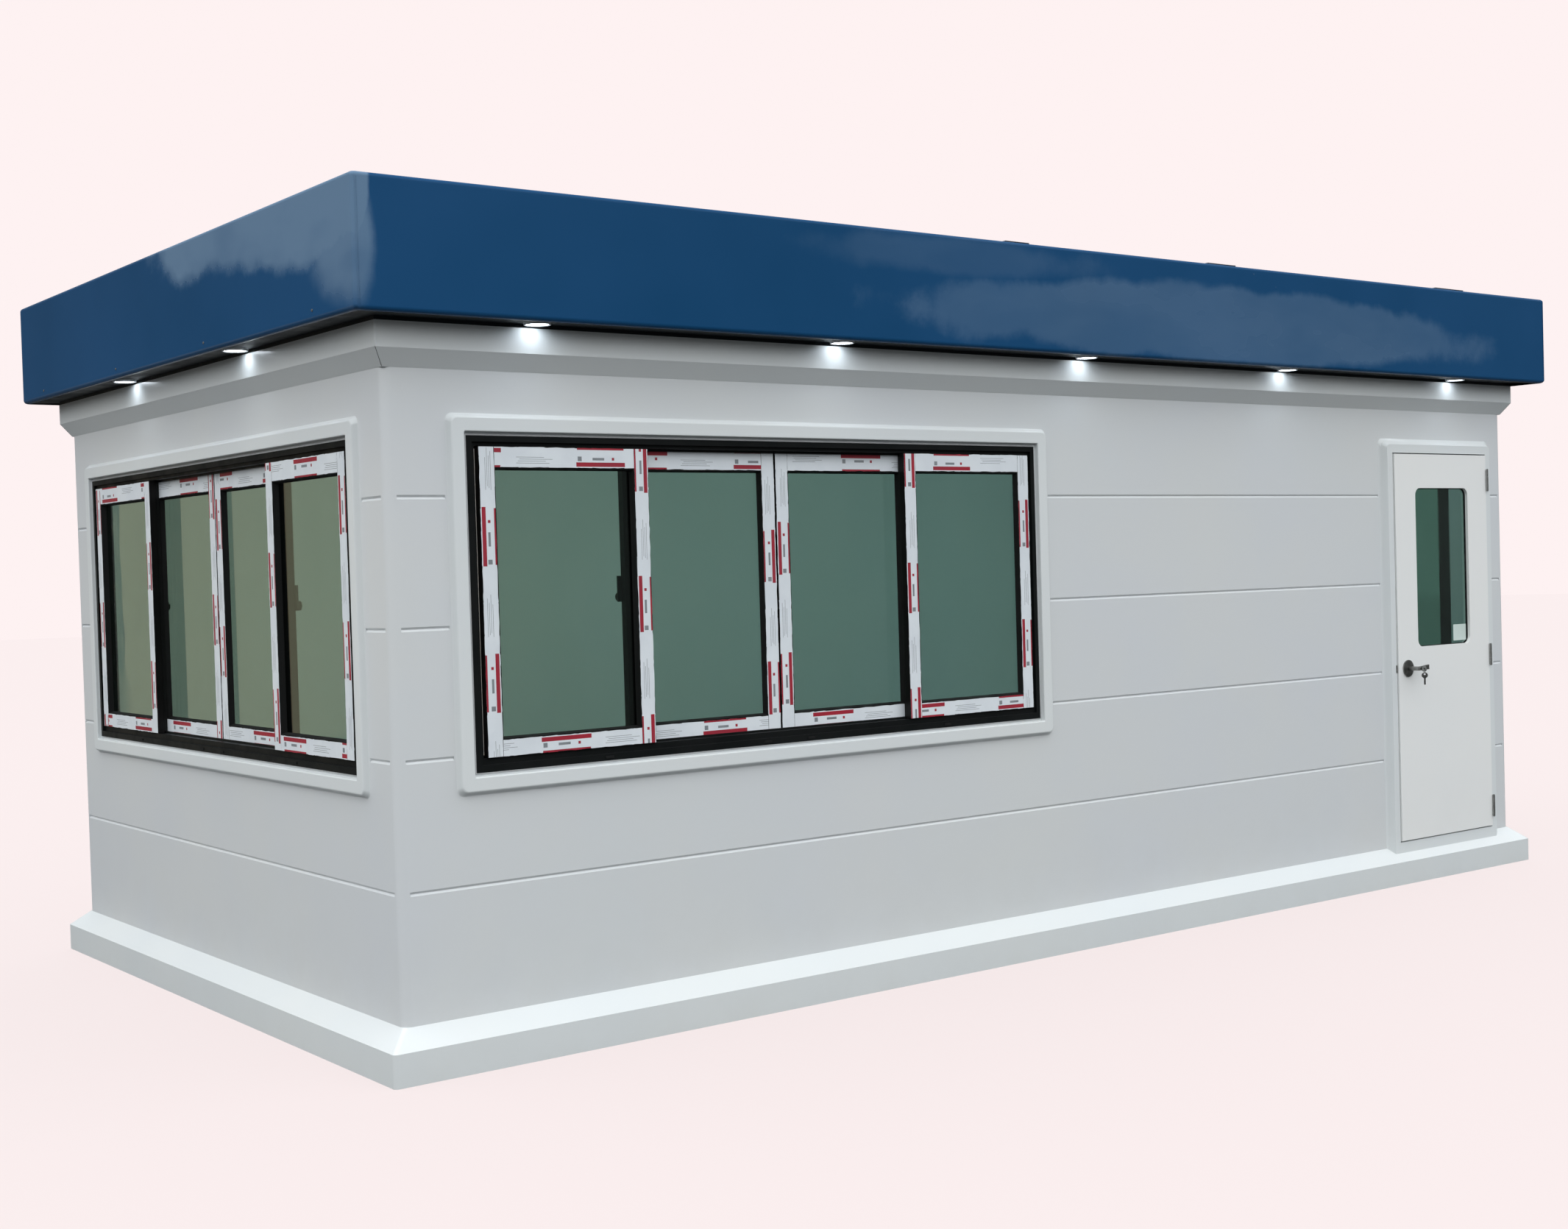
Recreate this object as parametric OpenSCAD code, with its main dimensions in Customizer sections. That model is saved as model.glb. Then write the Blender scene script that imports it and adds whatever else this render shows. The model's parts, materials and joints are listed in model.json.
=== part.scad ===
// Security guard booth: moulded white cabin with a blue box roof.
// Millimetres. Origin at the plan centre on the ground, +X along the long
// front to the right, the front wall faces -Y, the ground is z = 0.

/* [Building] */
// Length of the wall box along X
wall_length = 6100; // [4000:50:9000]
// Width of the wall box along Y
wall_width = 3050; // [2800:50:4500]
// Overall height to the top of the roof box
total_height = 2806; // [2700:1:3600]
// Thickness of the sandwich wall
wall_t = 70; // [50:5:120]
// Radius of the upright wall corners
wall_corner_r = 30; // [5:1:45]

/* [Base] */
// Height of the upright face of the base flange
base_face_h = 107; // [60:1:130]
// Height of the base where its slope meets the wall
base_top = 167; // [140:1:185]
// Projection of the base flange from the wall face
base_out = 72; // [40:1:120]
// Radius of the base flange corners
base_corner_r = 15; // [4:1:40]
// Width of the base rim under the wall
base_rim = 100; // [80:5:160]
// Thickness of the structural floor boards
floor_t = 18; // [12:1:30]
// Thickness of the floor covering
cover_t = 3; // [2:0.5:6]
// Number of floor joists
joist_count = 11; // [5:1:20]
// Width of a floor joist
joist_w = 50; // [30:5:80]

/* [Boards] */
// Height of the lowest board groove
groove_first = 584; // [400:1:700]
// Distance between board grooves
groove_pitch = 416.5; // [200:0.5:500]
// Number of board grooves
groove_count = 4; // [1:1:4]
// Width of a board groove
groove_w = 14; // [6:1:24]
// Depth of a board groove
groove_d = 5; // [2:0.5:8]
// Distance from the groove end to the wall corner
groove_end = 36; // [20:1:80]
// Distance from the groove end to a window or door surround
groove_stop = 6; // [2:1:40]

/* [Cornice and roof] */
// Height where the cornice slope leaves the wall
cornice_z = 2240; // [2200:1:2260]
// Rise of the cornice slope
cornice_rise = 57; // [40:1:90]
// Projection of the cornice band
cornice_out = 40; // [20:1:42]
// Thickness of the cornice at its lower edge
cornice_foot = 0.5; // [0.5:0.5:4]
// Height of the packing strip between the cornice and the soffit
strip_h = 12; // [6:1:20]
// Distance of the packing strip behind the cornice band
strip_in = 2; // [1:1:8]
// Underside of the roof box
fascia_z = 2389; // [2370:1:2450]
// Projection of the roof box beyond the wall face
fascia_out = 158; // [156:1:260]
// Thickness of the roof box skin
fascia_t = 12; // [9:1:20]
// Radius of the upright roof corners
fascia_corner_r = 12; // [4:1:40]
// Radius of the rounded top edge of the roof box
fascia_edge_r = 14; // [6:1:40]
// Radius of the lower edge of the roof box
fascia_foot_r = 16; // [4:1:18]
// Width of the lip under the roof box
lip_w = 20; // [14:1:22]
// Height of the lip under the roof box
lip_h = 3; // [2:1:12]
// Thickness of the roof deck board
deck_t = 18; // [12:1:30]
// Thickness of the ceiling panel
ceiling_t = 12; // [6:1:20]
// Number of roof ribs
rib_count = 7; // [3:1:15]
// Width of a roof rib
rib_w = 50; // [30:5:80]
// Height of the low strips on the front edge of the roof
pad_h = 5; // [3:1:20]
// Depth of the low strips on the front edge of the roof
pad_depth = 120; // [40:5:300]

/* [Downlights] */
// Diameter of a downlight rim
light_d = 92; // [84:1:96]
// Diameter of the glowing disc
lens_d = 74; // [40:1:80]
// Thickness of a downlight
light_h = 6; // [6:1:14]
// Distance of the first front downlight from the wall end
light_end = 510; // [300:10:900]
// Offset of a side downlight from the middle of the side
light_side = 570; // [300:10:900]

/* [Windows] */
// Width over the window frame
win_w = 2536; // [1800:1:2600]
// Height of the window frame
win_h = 1085; // [800:1:1100]
// Height of the window frame bottom
win_z = 946; // [900:1:960]
// Left edge of the front window frame from the left wall face
win_x = 283; // [240:1:400]
// Width of the window frame face
frame_face = 20; // [14:1:40]
// Depth of the window frame lip in front of the wall face
frame_proud = 6; // [2:1:12]
// Width of the recessed frame channel at the sides and top
channel_w = 12; // [8:1:20]
// Height of the recessed frame channel at the bottom
channel_sill = 21; // [12:1:30]
// Recess of the channel behind the frame lip
channel_d = 11; // [6:1:20]
// Height of the track ribs between the sashes
track_h = 8; // [4:1:12]
// Thickness of the track rib between the sashes
rib_t = 4; // [2:0.5:5]
// Width of a sash
sash_w = 651; // [640:1:680]
// Width of a sash stile
sash_stile = 57; // [50:1:90]
// Height of the sash top rail
sash_top = 70; // [50:1:90]
// Height of the sash bottom rail
sash_bottom = 57; // [45:1:90]
// Thickness of a sash
sash_t = 28; // [20:1:30]
// Depth of the outer sash faces behind the frame face
sash_set = 4; // [2:1:12]
// Distance from the outer to the inner sash faces
track_pitch = 41; // [33:1:44]
// Slide of the first front sash from its closed place
sash_slid = 12; // [0:1:40]
// Thickness of a window pane
pane_t = 5; // [3:1:8]
// Depth of the pane edge in its groove
pane_bite = 6; // [4:1:10]
// Lip of the sash behind the pane
pane_back = 2; // [2:0.5:8]
// Width of the window surround from the frame to the outer edge
sur_w = 72; // [60:1:90]
// Width of a latch plate
latch_w = 31; // [26:1:40]
// Reach of a latch plate past the sash edge
latch_over = 13; // [8:1:18]
// Height of a latch plate above the drum axis
latch_up = 72; // [40:1:90]
// Height of a latch plate below the drum axis
latch_down = 17; // [12:1:30]
// Thickness of a latch plate
latch_t = 6; // [4:1:8]
// Diameter of a latch drum
drum_d = 34; // [24:1:40]
// Depth of a latch drum
drum_t = 12; // [8:1:16]
// Distance of the drum axis past the sash edge
latch_axis = -3; // [-6:1:10]
// Length of a latch arm from the drum axis
arm_l = 34; // [24:1:44]
// Height of a latch arm
arm_h = 18; // [10:1:24]
// Thickness of a latch arm
arm_t = 8; // [5:1:10]
// Ledge between the frame and the surround
sur_ledge = 12; // [6:1:20]
// Projection of the window surround
sur_proud = 19; // [14:1:30]
// Corner radius of the surrounds
sur_r = 26; // [12:1:40]

/* [Door] */
// Distance from the hinge edge of the leaf to the right wall face
door_edge = 192; // [180:1:900]
// Width of the door leaf
door_w = 746; // [700:1:760]
// Height of the door leaf bottom
door_z = 197; // [190:1:220]
// Height of the door leaf
door_h = 1834; // [1780:1:1850]
// Thickness of the door leaf
door_t = 40; // [35:1:50]
// Gap between the leaf and its surround
door_gap = 6; // [5:1:10]
// Gap behind the leaf
door_back_gap = 5; // [5:1:8]
// Projection of the leaf face from the wall face
leaf_proud = 38; // [32:1:42]
// Projection of the door surround from the wall face
door_sur_proud = 32; // [26:1:42]
// Width of the flat face of the door surround
door_sur_face = 39; // [30:1:60]
// Run of the door surround bevel at the wall
door_sur_bevel = 28; // [16:1:34]
// Thickness of the door lining
lining_t = 25; // [18:1:40]
// Width of the door stop
stop_w = 18; // [10:1:30]
// Width of the glazed opening in the leaf
light_w = 427; // [300:1:480]
// Height of the glazed opening in the leaf
light_gh = 757; // [500:1:800]
// Height of the bottom of the glazed opening
light_z = 1112; // [1080:1:1130]
// Corner radius of the glazed opening
light_r = 35; // [10:1:60]
// Thickness of the door pane
door_pane_t = 6; // [4:1:10]
// Radius of a hinge knuckle
knuckle_r = 6; // [5:0.5:8]
// Length of a hinge
hinge_len = 105; // [90:1:140]
// Centre height of the bottom hinge
hinge_z1 = 296; // [260:1:400]
// Centre height of the middle hinge
hinge_z2 = 1048; // [900:1:1200]
// Centre height of the top hinge
hinge_z3 = 1909; // [1800:1:1950]
// Radius of a hinge pin
pin_r = 2.5; // [2:0.25:3.5]
// Clearance at the hinge pins
pin_clear = 0.5; // [0.3:0.1:1]
// Thickness of a hinge plate
plate_t = 2; // [1.5:0.25:2.25]

/* [Lock] */
// Distance from the leaf edge to the lever axis
backset = 71; // [60:1:90]
// Height of the lever axis
lever_z = 1014; // [950:1:1080]
// Diameter of the lock rose
rose_d = 80; // [50:1:84]
// Thickness of the lock rose
rose_t = 11; // [8:1:16]
// Radius of the lever neck and bar
lever_r = 10; // [8:0.5:13]
// Distance from the leaf face to the lever bar axis
lever_out = 62; // [50:1:75]
// Length of the lever bar from its axis
lever_len = 76; // [60:1:120]
// Height of the lever bar at its end
lever_end_h = 22; // [14:1:28]
// Thickness of the lever bar at its end
lever_end_t = 12; // [8:1:16]
// Rise of the lever bar from its axis to its end
lever_rise = 5; // [0:1:10]
// Radius of the key cylinder
cyl_r = 8; // [6:0.5:9]
// Radius of a key bow
bow_r = 14; // [10:0.5:15]
// Radius of the hole in a key bow
bow_eye = 4.5; // [3.5:0.25:5]
// Radius of the key ring
ring_r = 9; // [8:0.5:14]
// Radius of the key ring wire
ring_t = 0.9; // [0.6:0.1:1.2]
// Turn of the key ring about its upright diameter
ring_turn = 35; // [0:5:45]
// Thickness of a key
key_t = 2; // [1.5:0.25:3]
// Width of a key blade
key_w = 8; // [6:0.5:10]
// Length of a key blade below its bow
key_len = 30; // [24:1:36]
// Gap between the key cylinder and the bow of its key
key_gap = 2; // [1:0.5:6]
// Distance from the bow middle to the hole of the key in the cylinder
key_eye = 2; // [0:0.5:8]
// Projection of the key cylinder from the lever bar
cyl_out = 1; // [0.5:0.5:5]
// Height of the strike plate
strike_h = 36; // [24:1:80]

/* [Hidden] */
$fn = 32;
skin = 0.01;
hx = wall_length / 2;
hy = wall_width / 2;
wall_top = fascia_z + lip_h;
cornice_top_z = cornice_z + cornice_rise;
strip_z = wall_top - strip_h;
rx = hx + fascia_out;
ry = hy + fascia_out;
bx = hx + base_out;
by = hy + base_out;
groove_last = groove_first + (groove_count - 1) * groove_pitch;
light_y = cornice_out + (fascia_out - lip_w - cornice_out) / 2;
light_pitch = (wall_length - 2 * light_end) / 4;
light_z0 = wall_top - light_h;
// Window opening inside the frame
open_w = win_w - 2 * (frame_face + channel_w);
open_h = win_h - 2 * frame_face - channel_w - channel_sill - 3;
open_z = frame_face + 3 + channel_sill;
outer_y = sash_set - frame_proud;
inner_y = outer_y + track_pitch;
centre_gap = 6;
win_cx = win_x + win_w / 2 - hx;
// Door opening
leaf_x1 = hx - door_edge;
leaf_x0 = leaf_x1 - door_w;
leaf_top = door_z + door_h;
rebate_x0 = leaf_x0 - door_gap;
rebate_x1 = leaf_x1 + door_gap - 1;
rebate_z0 = door_z - door_gap;
rebate_z1 = leaf_top + door_gap;
rough_x0 = rebate_x0 - lining_t;
rough_x1 = rebate_x1 + lining_t;
rough_z1 = rebate_z1 + lining_t;
foot_run = door_sur_bevel * 0.55;
sur_x0 = rebate_x0 - door_sur_face - door_sur_bevel;
sur_x1 = rebate_x1 + door_sur_face + door_sur_bevel;
sur_z1 = rebate_z1 + door_sur_face + door_sur_bevel;
stop_y = door_t - leaf_proud + door_back_gap;
axis_x = leaf_x1 + (rebate_x1 - leaf_x1) * 0.6;
axis_y = -leaf_proud - knuckle_r;
lever_x = leaf_x0 + backset;

// ---------------------------------------------------------------- helpers

// Box given by its lowest and highest corners.
module span(a, b) {
    translate(a) cube(b - a);
}

// Upright block centred in plan with rounded upright corners.
module slab(lx, ly, z0, z1, r) {
    translate([0, 0, z0]) linear_extrude(z1 - z0) rounded(lx, ly, r);
}

// Rectangle with rounded corners, centred.
module rounded(w, h, r) {
    square([w - 2 * r, h], center = true);
    square([w, h - 2 * r], center = true);
    for (x = [-1, 1], y = [-1, 1])
        translate([x * (w / 2 - r), y * (h / 2 - r)]) circle(r);
}

// Sloped block from one centred rectangle [w, h, z] to another.
module taper(low, high, r) {
    hull() {
        slab(low[0], low[1], low[2], low[2] + skin, r);
        slab(high[0], high[1], high[2] - skin, high[2], r);
    }
}

// V-shaped groove cutter along X on the plane y = 0, facing -Y.
module groove_bar(len) {
    rotate([90, 0, 90])
        linear_extrude(len)
            polygon([[-skin, -groove_w / 2], [groove_d, 0],
                     [-skin, groove_w / 2], [-groove_d, 0]]);
}

// Places the front wall frame (x from the left, y inward) in the building.
module on_front() {
    translate([0, -hy, 0]) children();
}

// Places a side wall frame, its own X running along the wall.
module on_left() {
    translate([-hx, 0, 0]) rotate([0, 0, -90]) children();
}

module on_right() {
    translate([hx, 0, 0]) rotate([0, 0, 90]) children();
}

module on_back() {
    translate([0, hy, 0]) rotate([0, 0, 180]) children();
}

// One groove course between two positions along a wall.
module groove_run(x0, x1, z) {
    if (x1 - x0 > groove_w) translate([x0, 0, z]) groove_bar(x1 - x0);
}

// All grooves of a wall of half length h with a blocked zone.
module groove_set(h, blocks) {
    for (i = [0 : groove_count - 1]) {
        z = groove_first + i * groove_pitch;
        hits = [for (b = blocks)
                if (z > b[2] - groove_w && z < b[3] + groove_w) b];
        n = len(hits);
        for (k = [0 : n]) {
            x0 = k == 0 ? -h + groove_end : hits[k - 1][1] + groove_stop;
            x1 = k == n ? h - groove_end : hits[k][0] - groove_stop;
            groove_run(x0, x1, z);
        }
    }
}

// Zone [x0, x1, z0, z1] taken by a window surround with its centre at cx.
function win_zone(cx) = [cx - win_w / 2 - sur_w, cx + win_w / 2 + sur_w,
                         win_z - sur_w, win_z + win_h + sur_w];
door_zone = [sur_x0, sur_x1, 0, sur_z1];

// ---------------------------------------------------------------- shell

// The whole wall ring with its grooves, windows and doorway.
module wall_ring() {
    difference() {
        slab(wall_length, wall_width, base_top, wall_top, wall_corner_r);
        span([-hx + wall_t, -hy + wall_t, base_top - 1],
             [hx - wall_t, hy - wall_t, wall_top + 1]);
        on_front() groove_set(hx, [win_zone(win_cx), door_zone]);
        on_left() groove_set(hy, [win_zone(0)]);
        on_right() groove_set(hy, [win_zone(0)]);
        on_back() groove_set(hx, []);
        on_front() win_hole(win_cx);
        on_left() win_hole(0);
        on_right() win_hole(0);
        on_front() span([rough_x0, -1, base_top - 1],
                        [rough_x1, wall_t + 1, rough_z1]);
    }
}

module win_hole(cx) {
    span([cx - win_w / 2, -1, win_z], [cx + win_w / 2, wall_t + 1,
                                       win_z + win_h]);
}

module wall_front() {
    color("gainsboro") intersection() {
        wall_ring();
        span([-hx - 1, -hy - 1, 0], [rough_x0, -hy + wall_t, total_height]);
    }
}

module wall_front_right() {
    color("gainsboro") intersection() {
        wall_ring();
        span([rough_x1, -hy - 1, 0], [hx + 1, -hy + wall_t, total_height]);
    }
}

module wall_front_header() {
    color("gainsboro") on_front() difference() {
        span([rough_x0, 0, rough_z1], [rough_x1, wall_t, wall_top]);
        groove_set(hx, [win_zone(win_cx), door_zone]);
    }
}

module wall_left() {
    color("gainsboro") intersection() {
        wall_ring();
        span([-hx - 1, -hy + wall_t, 0],
             [-hx + wall_t, hy - wall_t, total_height]);
    }
}

module wall_right() {
    color("gainsboro") intersection() {
        wall_ring();
        span([hx - wall_t, -hy + wall_t, 0],
             [hx + 1, hy - wall_t, total_height]);
    }
}

module wall_back() {
    color("gainsboro") intersection() {
        wall_ring();
        span([-hx - 1, hy - wall_t, 0], [hx + 1, hy + 1, total_height]);
    }
}

// Outside of the base flange with its sloped top.
module base_outside() {
    slab(2 * bx, 2 * by, 0, base_face_h, base_corner_r);
    taper([2 * bx, 2 * by, base_face_h - skin],
          [wall_length, wall_width, base_top], base_corner_r);
}

module base_skirt() {
    color("whitesmoke") difference() {
        base_outside();
        span([-hx + base_rim, -hy + base_rim, -1],
             [hx - base_rim, hy - base_rim, base_top + 1]);
    }
}

module floor_joists() {
    fx = hx - base_rim - joist_w / 2;
    color("dimgray")
        for (i = [0 : joist_count - 1])
            translate([-fx + 2 * fx * i / (joist_count - 1), 0, 0])
                span([-joist_w / 2, -hy + base_rim, 0],
                     [joist_w / 2, hy - base_rim, base_top - floor_t]);
}

module floor_deck() {
    color("burlywood")
        span([-hx + base_rim, -hy + base_rim, base_top - floor_t],
             [hx - base_rim, hy - base_rim, base_top]);
}

module floor_cover() {
    color("slategray")
        span([-hx + wall_t, -hy + wall_t, base_top],
             [hx - wall_t, hy - wall_t, base_top + cover_t]);
}

module cornice() {
    lx = wall_length + 2 * cornice_out;
    ly = wall_width + 2 * cornice_out;
    color("whitesmoke") difference() {
        union() {
            taper([wall_length + 2 * cornice_foot,
                   wall_width + 2 * cornice_foot, cornice_z],
                  [lx, ly, cornice_top_z + skin], 3);
            slab(lx, ly, cornice_top_z, strip_z, 3);
        }
        slab(wall_length, wall_width, cornice_z - 1, strip_z + 1,
             wall_corner_r);
    }
}

// Dark strip that closes the gap between the cornice and the soffit.
module soffit_strip() {
    out = 2 * (cornice_out - strip_in);
    color("black") difference() {
        slab(wall_length + out, wall_width + out, strip_z, wall_top, 3);
        slab(wall_length, wall_width, strip_z - 1, wall_top + 1,
             wall_corner_r);
    }
}

module ceiling_panel() {
    color("white")
        span([-hx + wall_t, -hy + wall_t, wall_top - ceiling_t],
             [hx - wall_t, hy - wall_t, wall_top]);
}

module roof_deck() {
    color("black")
        span([-rx + fascia_t, -ry + fascia_t, wall_top],
             [rx - fascia_t, ry - fascia_t, wall_top + deck_t]);
}

module roof_ribs() {
    fx = rx - fascia_t - rib_w;
    color("dimgray")
        for (i = [0 : rib_count - 1])
            translate([-fx + 2 * fx * i / (rib_count - 1), 0, 0])
                span([-rib_w / 2, -ry + fascia_t, wall_top + deck_t],
                     [rib_w / 2, ry - fascia_t, total_height - fascia_t]);
}

module roof_shell() {
    color("royalblue") difference() {
        hull() {
            slab(2 * rx, 2 * ry, fascia_z + fascia_foot_r,
                 total_height - fascia_edge_r, fascia_corner_r);
            for (a = [18 : 18 : 90]) {
                run = fascia_edge_r * (1 - cos(a));
                z = total_height - fascia_edge_r * (1 - sin(a));
                slab(2 * (rx - run), 2 * (ry - run), z - skin, z,
                     fascia_corner_r);
                foot = fascia_foot_r * (1 - cos(a));
                low = fascia_z + fascia_foot_r * (1 - sin(a));
                slab(2 * (rx - foot), 2 * (ry - foot), low, low + skin,
                     fascia_corner_r);
            }
        }
        span([-rx + fascia_t, -ry + fascia_t, wall_top],
             [rx - fascia_t, ry - fascia_t, total_height - fascia_t]);
        span([-rx + lip_w, -ry + lip_w, fascia_z - 1],
             [rx - lip_w, ry - lip_w, wall_top + 1]);
    }
}

// Low strips on the front roof edge: [x from the left wall, length].
pads = [[2625, 127], [3829, 179], [5477, 225]];
module roof_pads() {
    color("midnightblue")
        for (p = pads)
            translate([p[0] - hx, -ry + fascia_edge_r, total_height])
                span([-p[1] / 2, 0, 0], [p[1] / 2, pad_depth, pad_h]);
}

// ---------------------------------------------------------------- lights

module light_places() {
    for (s = [-1, 1]) {
        for (i = [-2 : 2])
            translate([i * light_pitch, s * (hy + light_y), 0]) children();
        for (t = [-1, 1])
            translate([s * (hx + light_y), t * light_side, 0]) children();
    }
}

module downlight_rims() {
    color("silver") light_places() difference() {
        translate([0, 0, light_z0])
            cylinder(h = light_h, d1 = light_d - 6, d2 = light_d);
        translate([0, 0, light_z0 - 1]) cylinder(h = light_h / 2 + 1,
                                                  d = lens_d);
    }
}

module downlight_lenses() {
    color("white") light_places()
        translate([0, 0, light_z0 + 1])
            cylinder(h = light_h / 2 - 1, d = lens_d);
}

// ---------------------------------------------------------------- windows

// Outer body of a surround on a wall, built outward from the wall face.
module raised(w, h, proud, bevel, r) {
    foot = bevel * 0.5;
    low = proud * 0.28;
    rotate([90, 0, 0]) {
        taper([w, h, 0], [w - 2 * foot, h - 2 * foot, low + skin], r);
        taper([w - 2 * foot, h - 2 * foot, low],
              [w - 2 * bevel, h - 2 * bevel, proud], r - foot / 2);
    }
}

module window_surround(cx) {
    bevel = sur_w - sur_ledge - 45;
    zc = win_z + win_h / 2;
    difference() {
        translate([cx, 0, zc])
            raised(win_w + 2 * sur_w, win_h + 2 * sur_w, sur_proud, bevel,
                   sur_r);
        span([cx - win_w / 2 - sur_ledge, -sur_proud - 1,
              win_z - sur_ledge],
             [cx + win_w / 2 + sur_ledge, 1, win_z + win_h + sur_ledge]);
    }
}

module window_surrounds() {
    color("whitesmoke") {
        on_front() window_surround(win_cx);
        on_left() window_surround(0);
        on_right() window_surround(0);
    }
}

module window_frame(cx) {
    z0 = win_z + open_z;
    z1 = z0 + open_h;
    x0 = cx - open_w / 2;
    x1 = cx + open_w / 2;
    rib_y = (outer_y + sash_t + inner_y) / 2 - rib_t / 2;
    difference() {
        span([cx - win_w / 2, -frame_proud, win_z],
             [cx + win_w / 2, wall_t, win_z + win_h]);
        span([x0, -frame_proud - 1, z0], [x1, wall_t + 1, z1]);
        span([x0 - channel_w, -frame_proud - 1, z0 - channel_sill],
             [x1 + channel_w, channel_d - frame_proud, z1 + channel_w]);
    }
    for (z = [z0, z1 - track_h])
        span([x0, rib_y, z], [x1, rib_y + rib_t, z + track_h]);
}

// One sash standing at x, with its front face at depth y.
module sash(x, y) {
    z0 = win_z + open_z;
    difference() {
        span([x, y, z0], [x + sash_w, y + sash_t, z0 + open_h]);
        span([x + sash_stile, y - 1, z0 + sash_bottom],
             [x + sash_w - sash_stile, y + sash_t + 1,
              z0 + open_h - sash_top]);
        pane(x, y);
    }
}

module pane(x, y) {
    z0 = win_z + open_z;
    back = y + sash_t - pane_back;
    span([x + sash_stile - pane_bite, back - pane_t,
          z0 + sash_bottom - pane_bite],
         [x + sash_w - sash_stile + pane_bite, back,
          z0 + open_h - sash_top + pane_bite]);
}

// Outer sashes, the first one slid along by the given distance.
module outer_sashes(cx, slid = 0) {
    sash(cx - open_w / 2 + slid, outer_y);
    sash(cx + open_w / 2 - sash_w, outer_y);
}

module inner_sashes(cx) {
    sash(cx - centre_gap / 2 - sash_w, inner_y);
    sash(cx + centre_gap / 2, inner_y);
}

module window_glass(cx, slid = 0) {
    pane(cx - open_w / 2 + slid, outer_y);
    pane(cx + open_w / 2 - sash_w, outer_y);
    pane(cx - centre_gap / 2 - sash_w, inner_y);
    pane(cx + centre_gap / 2, inner_y);
}

module window_front_frame() {
    color("dimgray") on_front() window_frame(win_cx);
}

module window_front_outer_sashes() {
    color("gray") on_front() outer_sashes(win_cx, sash_slid);
}

module window_front_inner_sashes() {
    color("gray") on_front() inner_sashes(win_cx);
}

module window_front_glass() {
    color("lightseagreen") on_front() window_glass(win_cx, sash_slid);
}

module window_left_frame() {
    color("dimgray") on_left() window_frame(0);
}

module window_left_outer_sashes() {
    color("gray") on_left() outer_sashes(0);
}

module window_left_inner_sashes() {
    color("gray") on_left() inner_sashes(0);
}

module window_left_glass() {
    color("lightseagreen") on_left() window_glass(0);
}

module window_right_frame() {
    color("dimgray") on_right() window_frame(0);
}

module window_right_outer_sashes() {
    color("gray") on_right() outer_sashes(0);
}

module window_right_inner_sashes() {
    color("gray") on_right() inner_sashes(0);
}

module window_right_glass() {
    color("lightseagreen") on_right() window_glass(0);
}

// Two crescent latches on the room faces of the inner sashes. Each plate
// reaches past the outer edge of its sash.
module latch_pair(cx) {
    y = inner_y + sash_t;
    zc = win_z + open_z + open_h / 2;
    edge = sash_w + centre_gap / 2;
    for (s = [0, 1])
        translate([cx, y, zc]) mirror([s, 0, 0]) {
            span([edge - latch_w + latch_over, 0, -latch_down],
                 [edge + latch_over, latch_t, latch_up]);
            translate([edge + latch_axis, latch_t - skin, 0])
                rotate([-90, 0, 0]) cylinder(h = drum_t, d = drum_d);
            span([edge + latch_axis - arm_l, latch_t - skin, -arm_h / 2],
                 [edge + latch_axis, latch_t + arm_t, arm_h / 2]);
        }
}

module window_latches() {
    color("black") {
        on_front() latch_pair(win_cx);
        on_left() latch_pair(0);
        on_right() latch_pair(0);
    }
}

// ---------------------------------------------------------------- door

module door_surround() {
    w = sur_x1 - sur_x0;
    low = base_face_h;
    h = sur_z1 - low;
    color("whitesmoke") difference() {
        on_front() translate([(sur_x0 + sur_x1) / 2, 0, low + h / 2])
            raised(w, h, door_sur_proud, door_sur_bevel, sur_r);
        on_front() span([rebate_x0, -door_sur_proud - 1, rebate_z0],
                        [rebate_x1, 1, rebate_z1]);
        base_outside();
    }
}

module door_lining() {
    color("whitesmoke") on_front() difference() {
        span([rough_x0, 0, base_top], [rough_x1, wall_t, rough_z1]);
        span([rebate_x0, -1, rebate_z0], [rebate_x1, stop_y, rebate_z1]);
        span([rebate_x0 + stop_w, -1, rebate_z0],
             [rebate_x1 - stop_w, wall_t + 1, rebate_z1 - stop_w]);
    }
}

// Bent strike on the latch side of the surround.
module strike_plate() {
    color("dimgray") on_front() {
        span([rebate_x0, -door_sur_proud - 1.5, lever_z - strike_h / 2],
             [rebate_x0 + 1.5, -6, lever_z + strike_h / 2]);
        span([rebate_x0 - 7, -door_sur_proud - 1.5,
              lever_z - strike_h / 2],
             [rebate_x0 + 1.5, -door_sur_proud, lever_z + strike_h / 2]);
    }
}

hinge_heights = [hinge_z1, hinge_z2, hinge_z3];

// Knuckle barrel between two heights with a bore for the pin.
module barrel(z0, z1) {
    translate([axis_x, axis_y, z0]) difference() {
        cylinder(h = z1 - z0, r = knuckle_r);
        translate([0, 0, -1])
            cylinder(h = z1 - z0 + 2, r = pin_r + pin_clear);
    }
}

module hinge_fixed() {
    third = hinge_len / 3;
    color("silver") on_front()
        for (z = hinge_heights)
            for (s = [-1, 1]) {
                a = z + s * third - third / 2;
                difference() {
                    union() {
                        barrel(a + 0.5, a + third - 0.5);
                        span([rebate_x1 - plate_t, axis_y + 3.5, a + 0.5],
                             [rebate_x1, -8, a + third - 0.5]);
                    }
                    translate([axis_x, axis_y, a])
                        cylinder(h = third, r = pin_r + pin_clear);
                }
            }
}

module hinge_moving() {
    third = hinge_len / 3;
    color("silver") on_front()
        for (z = hinge_heights) {
            a = z - third / 2;
            difference() {
                union() {
                    barrel(a + 0.5, a + third - 0.5);
                    span([leaf_x1, axis_y + 3.5, a + 0.5],
                         [leaf_x1 + plate_t, -8, a + third - 0.5]);
                }
                translate([axis_x, axis_y, a])
                    cylinder(h = third, r = pin_r + pin_clear);
            }
        }
}

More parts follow.
